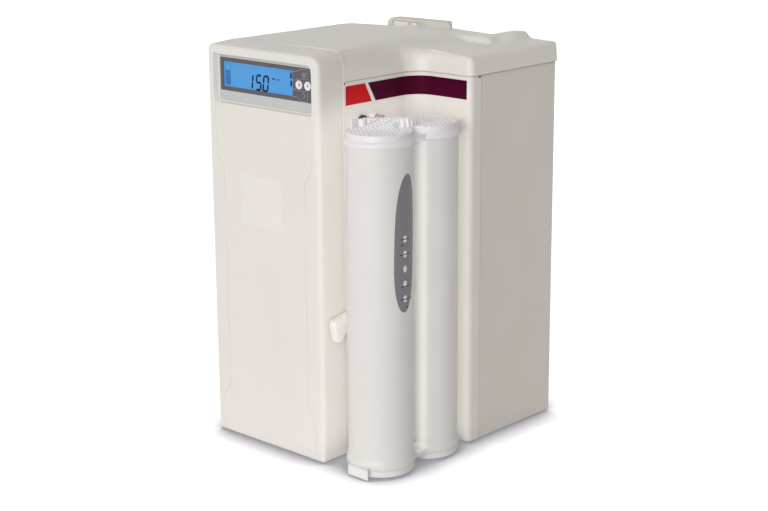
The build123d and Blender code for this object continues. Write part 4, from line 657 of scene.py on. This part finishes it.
packBase = dict(
    boxes=(((290, 78, 7.5), (300.4, 107, 16)), ((212.4, 80, 2), (232, 97.6, 13))),
    tab=((255, -4), (290.4, -4), (284.9, 6), (255, 6)), tabRadius=0.5,
    tabProfile=((-0.4, -1.2), (0, -0.8), (0, 11.4), (-0.5, 12)), tabRise=0.6, tabRun=3,
    ring=((0.8, 0), (1.4, 0.5), (1.8, 5.8), (2.1, 6.2), (2.3, 7.8), (1.9, 8.2), (0.6, 8.3)),
    bulge=((0.6, 8.3), (2.3, 8.4), (2.9, 9), (3.4, 11.5), (3.6, 14), (3.3, 16.6), (2.5, 19), (1.7, 21.2),
        (1.25, 23), (1.1, 24.4), (0.2, 24.4), (0.2, 8.3), (0.6, 8.3)))


def packBasePatches():   # the same figure-eight loop with a stepped ring, a lug, a hook and a tab in front
    loop, normals = packLoop()
    ring = carried(loop, normals, packBase["ring"])
    patches = [gridPatch(ring, True), endFace(ring[0], loop), endFace(ring[-1], loop)]
    patches += [softBox(*box) for box in packBase["boxes"]]
    outline = roundedLoop(packBase["tab"], [packBase["tabRadius"]] * 4)
    tab = carried(*outline, packBase["tabProfile"])
    run = np.minimum(tab[2:, :, 1] - packBase["tab"][0][1], packBase["tabRun"])
    tab[2:, :, 2] += packBase["tabRise"] * run   # the tab's top runs up into the bulge
    return patches + [solidPatch(tab)]


makePiece("pack_foot", packBasePatches(), "white_plastic", whitePp, body="pack",
          replaces=("pack_bottom_cap",), sharp=32)
makePiece("pack_bulge", [gridPatch(carried(*packLoop(), packBase["bulge"]), True)], "white_plastic", whitePvc,
          body="pack")   # the bulge above the foot runs out on the tubes

packLabel = dict(
    radius=43.3, low=221, high=401, middle=2, half=24.3, lean=0.044, faceOut=0.35, dotOut=0.42, barOut=0.48,
    dotAngle=-0.2, dotSize=(4.4, 4.6), dots=(317.5, 297.9, 278.3, 258.7, 239.1), barHalf=0.7,
    bars=((-9.9, 10.3, 317.4), (-10, -3.3, 309.8), (-12.2, 14.7, 297.4), (-9.3, 15.7, 255.4),
        (-10.5, 18.2, 238.4), (1.1, 8.6, 227.4)))   # plain dots and bars in place of writing


def onTube(angle, z, out):   # a spot on the front tube from its angle in degrees, height and distance out
    turn, reach = np.radians(angle), packLabel["radius"] + out
    return columns(packCap["axisX"] + reach * np.cos(turn), packCap["axisY"][0] + reach * np.sin(turn), z)


def labelPatch():   # a leaf: half width = widest times the root of 1 - u^3, u the distance from mid height
    c = packLabel
    u = np.sin(np.linspace(-quarter, quarter, 61))[:, None]
    rise = (c["high"] - c["low"]) / 2 * u
    half = c["half"] * np.sqrt(np.maximum(1 - np.abs(u) ** 3, 1e-4))
    angle = c["middle"] + c["lean"] * rise + half * np.linspace(-1, 1, 25)
    z = (c["low"] + c["high"]) / 2 + rise
    return [gridPatch(onTube(angle, z, c["faceOut"])), gridPatch(onTube(angle[:, ::-1], z, 0))]


def labelDot(z):   # a small oval on the label
    scale = np.array([[1], [0.5], [0.05]])
    oval = circleLoop((0, 0), 1, 20)[0] * packLabel["dotSize"]
    across, up = scale * oval.T[:, None]
    return gridPatch(onTube(packLabel["dotAngle"] + across, z + up, packLabel["dotOut"]), True)


makePiece("label_face", labelPatch(), "grey_label", body="pack", replaces=("pack_label",))
makePiece("label_dots", [labelDot(z) for z in packLabel["dots"]], "white_label", body="pack")
edges = packLabel["barHalf"] * np.array([[-1], [1]])
bars = [gridPatch(onTube(np.linspace(a, b, 9), z + edges, packLabel["barOut"]))
        for a, b, z in packLabel["bars"]]
makePiece("label_bars", bars, "dark_print", slotMaterials["black_plastic"], body="pack")
print("pack foot and label made")

sideLever = dict(
    outline=((16.6, 166.6), (26.5, 163), (36, 176.5), (80.5, 203), (83, 228), (58, 232.5), (54, 204.5),
        (23, 197.4), (10.6, 195.6)),
    radii=(6, 5, 14, 12, 12, 13, 16, 10, 7),
    profile=((-1.2, 207.3), (0, 208.4), (0, 215.6), (-0.2, 216.8), (-0.75, 217.7), (-1.6, 218.3),
        (-2.6, 218.5)),
    dimples=((18.8, 187.2), (22.4, 176.4)), dimpleSize=(1.5, 2.5),
    dimpleProfile=((0, 218.3), (-0.3, 218.75), (-0.9, 218.95)))


def leverPatches():   # the lever's side outline carried outwards with an eased edge, and two oval marks
    c = sideLever
    outline = roundedLoop(c["outline"], c["radii"], 3, 9)
    patches = [solidPatch(carried(*outline, c["profile"], "yz"))]
    ring, out = circleLoop((0, 0), 1, 24)
    for centre in c["dimples"]:
        patches.append(solidPatch(carried(centre + ring * c["dimpleSize"], out, c["dimpleProfile"], "yz")))
    return patches


makePiece("lever_arm", leverPatches(), "cream_plastic", body="lever", replaces=("side_lever",))

handle = dict(
    left=8.5, right=130.5, foot=528, topLeft=544.4, topRight=545.8, leftRound=8, rightRound=9, front=345,
    back=366, easing=1.2, nip=0.35, endThick=3.5, endSpread=1.1,
    columns=((17, 19, 7), (20, 46, 14), (46.5, 48.5, 7), (50, 52.5, 8), (54, 121, 40)),
    rows=((0, 0.6, 6), (0.64, 1, 16)), pockets=((17.5, 47.5), (51, 84)), pocketTop=541.4, pocketDepth=4.5,
    pocketFade=22, pocketBelow=2.6, pads=((18.1, 46.9), (51.6, 63.4)), padY=(347.6, 349.2),
    padZ=(529, 540.6))


def roundFall(gap, radius):   # how far a quarter-round has fallen at a gap from its highest point
    return np.where(gap > 0, radius - np.sqrt(np.maximum(radius ** 2 - gap ** 2, 0)), 0)


def handlePatches():
    # an upright section at each x: front face with two pockets, eased top, back thinner to the right end
    c = handle
    leftR, rightR, front, nip = c["leftRound"], c["rightRound"], c["front"], c["nip"]
    x = np.unique(joined(spread(c["columns"]), c["left"] + leftR * (1 - np.cos(arcAngles(0, 90, 10))),
                         c["right"] - rightR * (1 - np.cos(arcAngles(0, 90, 12)))))
    top = c["topLeft"] + (c["topRight"] - c["topLeft"]) * (x - c["left"]) / (c["right"] - c["left"])
    top = top - roundFall(leftR - (x - c["left"]), leftR) - roundFall(rightR - (c["right"] - x), rightR)
    z = c["foot"] + (top[:, None] - c["easing"] - c["foot"]) * spread(c["rows"])
    first, second = (smooth(x - a) * smooth(b - x) for a, b in c["pockets"])
    fade = np.clip((c["pockets"][1][1] - x) / c["pocketFade"], 0, 1)
    hollow = np.maximum(first, second * fade)[:, None]
    hollow = hollow * smooth(np.minimum(c["pocketTop"], top - c["pocketBelow"])[:, None] - z)
    rear = np.minimum(c["back"], front + c["endThick"] + c["endSpread"] * (c["right"] - x))
    crown = [(front + nip, top - nip), (front + c["easing"], top), (rear - c["easing"], top),
             (rear - nip, top - nip), (rear, top - c["easing"]), (rear, c["foot"])]
    crown = np.stack([columns(x, y, high) for y, high in crown], 1)
    face = columns(x[:, None], front + c["pocketDepth"] * hollow, z)
    return [solidPatch(joined(face, crown, axis=1))]


makePiece("handle_grip", handlePatches(), "cream_plastic", darkerCreamAbs, replaces=("rear_handle",), sharp=40)
pads = [softBox(*zip(across, handle["padY"], handle["padZ"]), 0.3, 0.5) for across in handle["pads"]]
makePiece("handle_pads", pads, "white_plastic", slotMaterials["cream_plastic"])
print("lever and handle made")

labelSquare = dict(box=(59, 305, 140, 374), corner=1.5, profile=((0, 0.1), (0, -0.25), (-0.1, -0.35)))
outline = roundedLoop(rectangle(*labelSquare["box"]), [labelSquare["corner"]] * 4)
makePiece("label_square", [solidPatch(carried(*outline, labelSquare["profile"], "xz"))], "white_label",
          replaces=("front_label",))


def flatPrint(outlines, back, front):   # each outline in x and z becomes a thin plate between two depths
    patches = []
    for outline in outlines:
        x, z = np.array(outline, float).T
        patches.append(solidPatch(np.stack([columns(x, back, z), columns(x, front, z)])))
    return patches


def strokePatch(line, width, back, front):   # a line in x and z drawn as a thin flat bar of even width
    line = np.asarray(line, float)
    along = np.gradient(line, axis=0)
    along /= np.linalg.norm(along, axis=1)[:, None]
    side = columns(-along[:, 1], along[:, 0]) * width / 2
    rings = ((-1, back), (1, back), (1, front), (-1, front))
    return solidPatch(np.stack([np.insert(line + side * k, 1, depth, axis=1) for k, depth in rings], 1))


readout = dict(
    foot=487.2, wide=8.6, tall=19.2, stroke=2.9, gap=0.15, slant=0.12, starts=(66.2, 82.2, 95.6),
    digits=("bc", "afgcd", "abcdef"), depth=(10.05, 9.95),
    point=((93, 486.2), (95, 486.2), (95.2, 488.2), (93.2, 488.2)), unitFoot=503.6,
    unit=((113, 2.6, 1.9), (116.4, 2, 1.9), (119.6, 0.7, 0.7), (121.6, 1.8, 1.4), (124.2, 2.8, 1.4)),
    sideBars=((497.8, 506.5), (507.9, 516.6)), sideX=148.6, sideHalf=1.5)


def segmentOutlines(start, names):   # six-sided bars of a seven-bar figure, leaned over to the right
    w, h, s = readout["wide"], readout["tall"], readout["stroke"] / 2
    m = h / 2
    bars = {"a": ((0, h), (w, h)), "b": ((w, m), (w, h)), "c": ((w, 0), (w, m)), "d": ((0, 0), (w, 0)),
            "e": ((0, 0), (0, m)), "f": ((0, m), (0, h)), "g": ((0, m), (w, m))}
    outlines = []
    for name in names:
        p, q = np.array(bars[name], float)
        run = (q - p) / np.linalg.norm(q - p)
        p, q = p + run * readout["gap"], q - run * readout["gap"]
        across, run = s * np.array([-run[1], run[0]]), s * run
        shape = np.array([p, p + run - across, q - run - across, q, q - run + across, p + run + across])
        shape[:, 0] += readout["slant"] * shape[:, 1] + start
        shape[:, 1] += readout["foot"]
        outlines.append(shape)
    return outlines


ink = []
for start, names in zip(readout["starts"], readout["digits"]):
    ink += segmentOutlines(start, names)
ink.append(readout["point"])
ink += [rectangle(x, readout["unitFoot"], x + w, readout["unitFoot"] + h) for x, w, h in readout["unit"]]
x, half = readout["sideX"], readout["sideHalf"]
for low, high in readout["sideBars"]:   # two upright bars at the screen's right
    ink.append([(x - half, low + half), (x, low), (x + half, low + half),
                (x + half, high - half), (x, high), (x - half, high - half)])
makePiece("screen_figures", flatPrint(ink, *readout["depth"]), "dark_print", screenInk)

tank = dict(
    box=(23.3, 488, 33.6, 517.3), corner=1.6, level=508.2, bars=12, fill=0.72, gaps=(0.9, 0.8),
    rim=((0, 10.05), (0, 9.95), (-0.55, 9.95), (-0.55, 10.05), (0, 10.05)), depth=(10.05, 9.96))
rim = carried(*roundedLoop(rectangle(*tank["box"]), [tank["corner"]] * 4), tank["rim"], "xz")
(x0, z0, x1, _), (gapX, gapZ) = tank["box"], tank["gaps"]
step = (tank["level"] - z0 - gapZ) / tank["bars"]
bars = [rectangle(x0 + gapX, z, x1 - gapX, z + tank["fill"] * step)
        for z in z0 + gapZ + step * np.arange(tank["bars"])]
makePiece("screen_level", [gridPatch(rim, True)] + flatPrint(bars, *tank["depth"]), "blue_screen", levelInk)

maskLines = dict(   # width and points: two frames, a vessel, a turning arrow
    depth=(9.03, 8.94),
    lines=((0.5, ((152.4, 518.8), (160, 519), (164, 521), (168, 522.6), (177, 522.8), (180.2, 521.4),
            (180.8, 518), (180.6, 512), (179, 510.2), (170, 510), (162, 509.8), (157, 507.4),
            (152.4, 507))),
        (0.5, ((152.2, 496), (157, 495.6), (162, 494.2), (170, 494.4), (177, 495), (179.6, 493.4),
            (179.4, 486), (178.6, 482), (175, 480.9), (168, 481.8), (163, 484.2), (159, 485.9),
            (152.2, 486))),
        (0.8, ((170.4, 519.6), (170.2, 514), (171.2, 512.8), (175, 512.8), (176, 514), (176.2, 519.6))),
        (0.8, ((171.8, 517.4), (174.6, 517.4))), (0.8, ((171.8, 515.4), (174.6, 515.4))),
        (0.8, ((169.2, 491), (172.6, 491.6), (174.6, 489.8), (174, 487.6), (171.4, 486.4))),
        (0.8, ((172.8, 485), (171.2, 486.4), (173, 487.8)))))
lines = [strokePatch(line, width, *maskLines["depth"]) for width, line in maskLines["lines"]]
makePiece("mask_lines", lines, "dark_print", lineInk)

pushButton = dict(
    centres={"left": (164, 502.1), "right": (179.7, 502.1)},
    profile=((5.9, 9.9), (5.9, 8.7), (5.7, 8.25), (5.2, 8), (4.6, 8), (4, 8.25), (3.4, 8.7), (2.8, 8.95),
        (1.2, 9.05)),
    arrow=((1, 0), (-0.8, 1.05), (-0.8, -1.05)), arrowSize={"left": -1.55, "right": 1.55},
    arrowDepth=(9.05, 8.86))
for side, centre in pushButton["centres"].items():   # a dished ring with a small arrow in it
    makePiece("button_face_" + side, [roundPatch(centre, pushButton["profile"], "xz", 40)], "white_plastic",
              body="button_" + side, replaces=("button_" + side,))
    arrow = centre + pushButton["arrowSize"][side] * np.array(pushButton["arrow"])
    makePiece("button_arrow_" + side, flatPrint([arrow], *pushButton["arrowDepth"]), "dark_print", screenInk,
              body="button_" + side)
print("display made")

sparePort = dict(
    centre=(97, 453.4),
    band=((5.2, 217.9), (5.7, 218), (5.85, 218.3), (5.85, 218.7), (5.7, 219), (5.2, 219.1)),
    tube=((6.2, 203.8), (6.2, 217), (5.9, 217.4), (5.5, 217.6), (4.9, 217.6)))
band, tube = (roundPatch(sparePort["centre"], sparePort[key], "yz") for key in ("band", "tube"))
makePiece("plug_band", [band], "black_rubber", body="plug")
makePiece("spare_tube", [tube], "cream_plastic", replaces=("spare_port",))

notchShades = dict(
    strip=((299.6, 202.4, 501.6), (300.95, 207.6, 505.5)), seam=((205.8, 47, 501.8), (206.75, 49.4, 505.5)))
for place, box in notchShades.items():   # black blocks under the lid: painted shade for the dark insides of small openings
    makePiece("notch_shade_" + place, [softBox(*box, 0.3, 0.2)], "black_plastic")
print("ports and notches made")

camera = dict(
    place=(1.538545, -1.674216, 0.853), yaw=42.856, pitch=15.029, roll=-0.374, focalPx=1689.03, widthPx=768,
    sensorMm=36)   # fitted on the photograph's straight edges
lens = bpy.data.cameras.new("photo_camera")
lens.sensor_width = camera["sensorMm"]
lens.lens = camera["focalPx"] / camera["widthPx"] * camera["sensorMm"]
viewer = addObject("photo_camera", lens)
viewer.matrix_world = Matrix.Translation(camera["place"])
for degrees, axis in ((camera["yaw"], "Z"), (90 - camera["pitch"], "X"), (camera["roll"], "Z")):
    viewer.matrix_world = viewer.matrix_world @ Matrix.Rotation(math.radians(degrees), 4, axis)
bpy.context.scene.camera = viewer
bpy.context.scene.view_settings.view_transform = "Standard"

light = dict(   # cards: place, facing, height and width, watts
    world=0.46, worldTint=(1, 0.945, 0.925, 1), rightDim=0.26, key=1.62, keyFrom=(0.32, -0.9, 0.3),
    keyAngle=40,
    cards={"side": ((224.5, 71, 240), (-1, 0, 0), (0.46, 0.168), 0.069),
        "ports": ((224.5, 100, 472), (-1, 0, 0), (0.06, 0.12), 0.0026),
        "crown": ((269, 89, 492), (0, 0, -1), (0.18, 0.085), 0.0115),
        "back": ((272, 179.5, 218), (0, 1, 0), (0.43, 0.06), 0.028),
        "tubes": ((304.3, 88.8, 226), (-1, 0, 0), (0.416, 0.012), 0.0132)})


def rayMask(tree, *kinds):   # 1 for rays of these kinds and 0 for the others
    rays = addNode(tree, "LightPath")
    mask = rays.outputs[kinds[0]]
    for kind in kinds[1:]:
        mask = addNode(tree, "Math", {0: mask, 1: rays.outputs[kind]}, operation="MAXIMUM").outputs[0]
    return mask


world = bpy.data.worlds.new("studio")
world.use_nodes = True
bpy.context.scene.world = world
tree = world.node_tree
tree.nodes.clear()
seen = rayMask(tree, "Is Camera Ray", "Is Glossy Ray", "Is Transmission Ray")
# the room is darker at the right
toward = addNode(tree, "SeparateXYZ", {0: addNode(tree, "TexCoord").outputs["Generated"]})
dim = addNode(tree, "MapRange", {"Value": toward.outputs["X"], "From Min": 0, "From Max": 1,
                                 "To Min": light["world"], "To Max": light["world"] - light["rightDim"]})
room = addNode(tree, "Background", {"Color": light["worldTint"], "Strength": dim.outputs["Result"]})
white = addNode(tree, "Background", {"Color": (1, 1, 1, 1), "Strength": 1})
sky = addNode(tree, "MixShader", {0: seen, 1: room.outputs[0], 2: white.outputs[0]})
addNode(tree, "OutputWorld", {"Surface": sky.outputs[0]})

keyLamp = bpy.data.lights.new("key_light", "SUN")   # soft key from the right front
keyLamp.energy, keyLamp.angle = light["key"], math.radians(light["keyAngle"])
addObject("key_light", keyLamp).rotation_euler = Vector(light["keyFrom"]).to_track_quat("Z", "Y").to_euler()
for name, (place, facing, size, energy) in light["cards"].items():   # cards round the pack throw light back
    card = bpy.data.lights.new("fill_card_" + name, "AREA")
    card.shape, card.size, card.size_y, card.energy = "RECTANGLE", size[1], size[0], energy
    holder = addObject("fill_card_" + name, card)
    turn = Vector(facing).to_track_quat("-Z", "Y").to_matrix().to_4x4()
    holder.matrix_world = Matrix.Translation(toFrame(place)) @ turn
    holder.visible_camera = False

paper = dict(
    roughness=0.9, half=9, white=(0.92, 0.92, 0.92, 1), open=(0.9, 0.9, 0.9, 1), lift=0.85, contactMm=64,
    shadow=((0, (0.24, 0.24, 0.26, 1)), (0.5, (0.25, 0.25, 0.27, 1)), (0.8, (0.66, 0.66, 0.68, 1)),
        (0.97, (0.9, 0.9, 0.9, 1))))
floorMaterial, tree, shader = newMaterial("white_paper_sweep", Roughness=paper["roughness"])
seen = rayMask(tree, "Is Camera Ray", "Is Glossy Ray")
contact = addNode(tree, "AmbientOcclusion", {"Distance": paper["contactMm"] / 1000})
shade = addNode(tree, "ValToRGB", {"Fac": contact.outputs["AO"]})   # soft bluish shadow close to the feet
stops = shade.color_ramp.elements
for place, colour in paper["shadow"]:
    stops.new(place).color = colour
stops.remove(stops[0])
stops[-1].color = paper["open"]
lift = addNode(tree, "Math", {0: seen, 1: paper["lift"]}, operation="MULTIPLY")
tone = addNode(tree, "Mix", {0: seen, 6: paper["white"], 7: shade.outputs["Color"]}, data_type="RGBA")
tree.links.new(tone.outputs[2], shader.inputs["Base Color"])   # the object is lit by plain white paper
tree.links.new(shade.outputs["Color"], shader.inputs["Emission Color"])
tree.links.new(lift.outputs[0], shader.inputs["Emission Strength"])
sheet = bpy.data.meshes.new("paper_sweep")
half = paper["half"]
sheet.from_pydata([(x, y, 0) for x, y in rectangle(-half, -half, half, half)], [], [(0, 1, 2, 3)])
sheet.materials.append(floorMaterial)
floor = addObject("paper_sweep", sheet)
floor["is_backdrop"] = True
print("stage lit")

low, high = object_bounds()
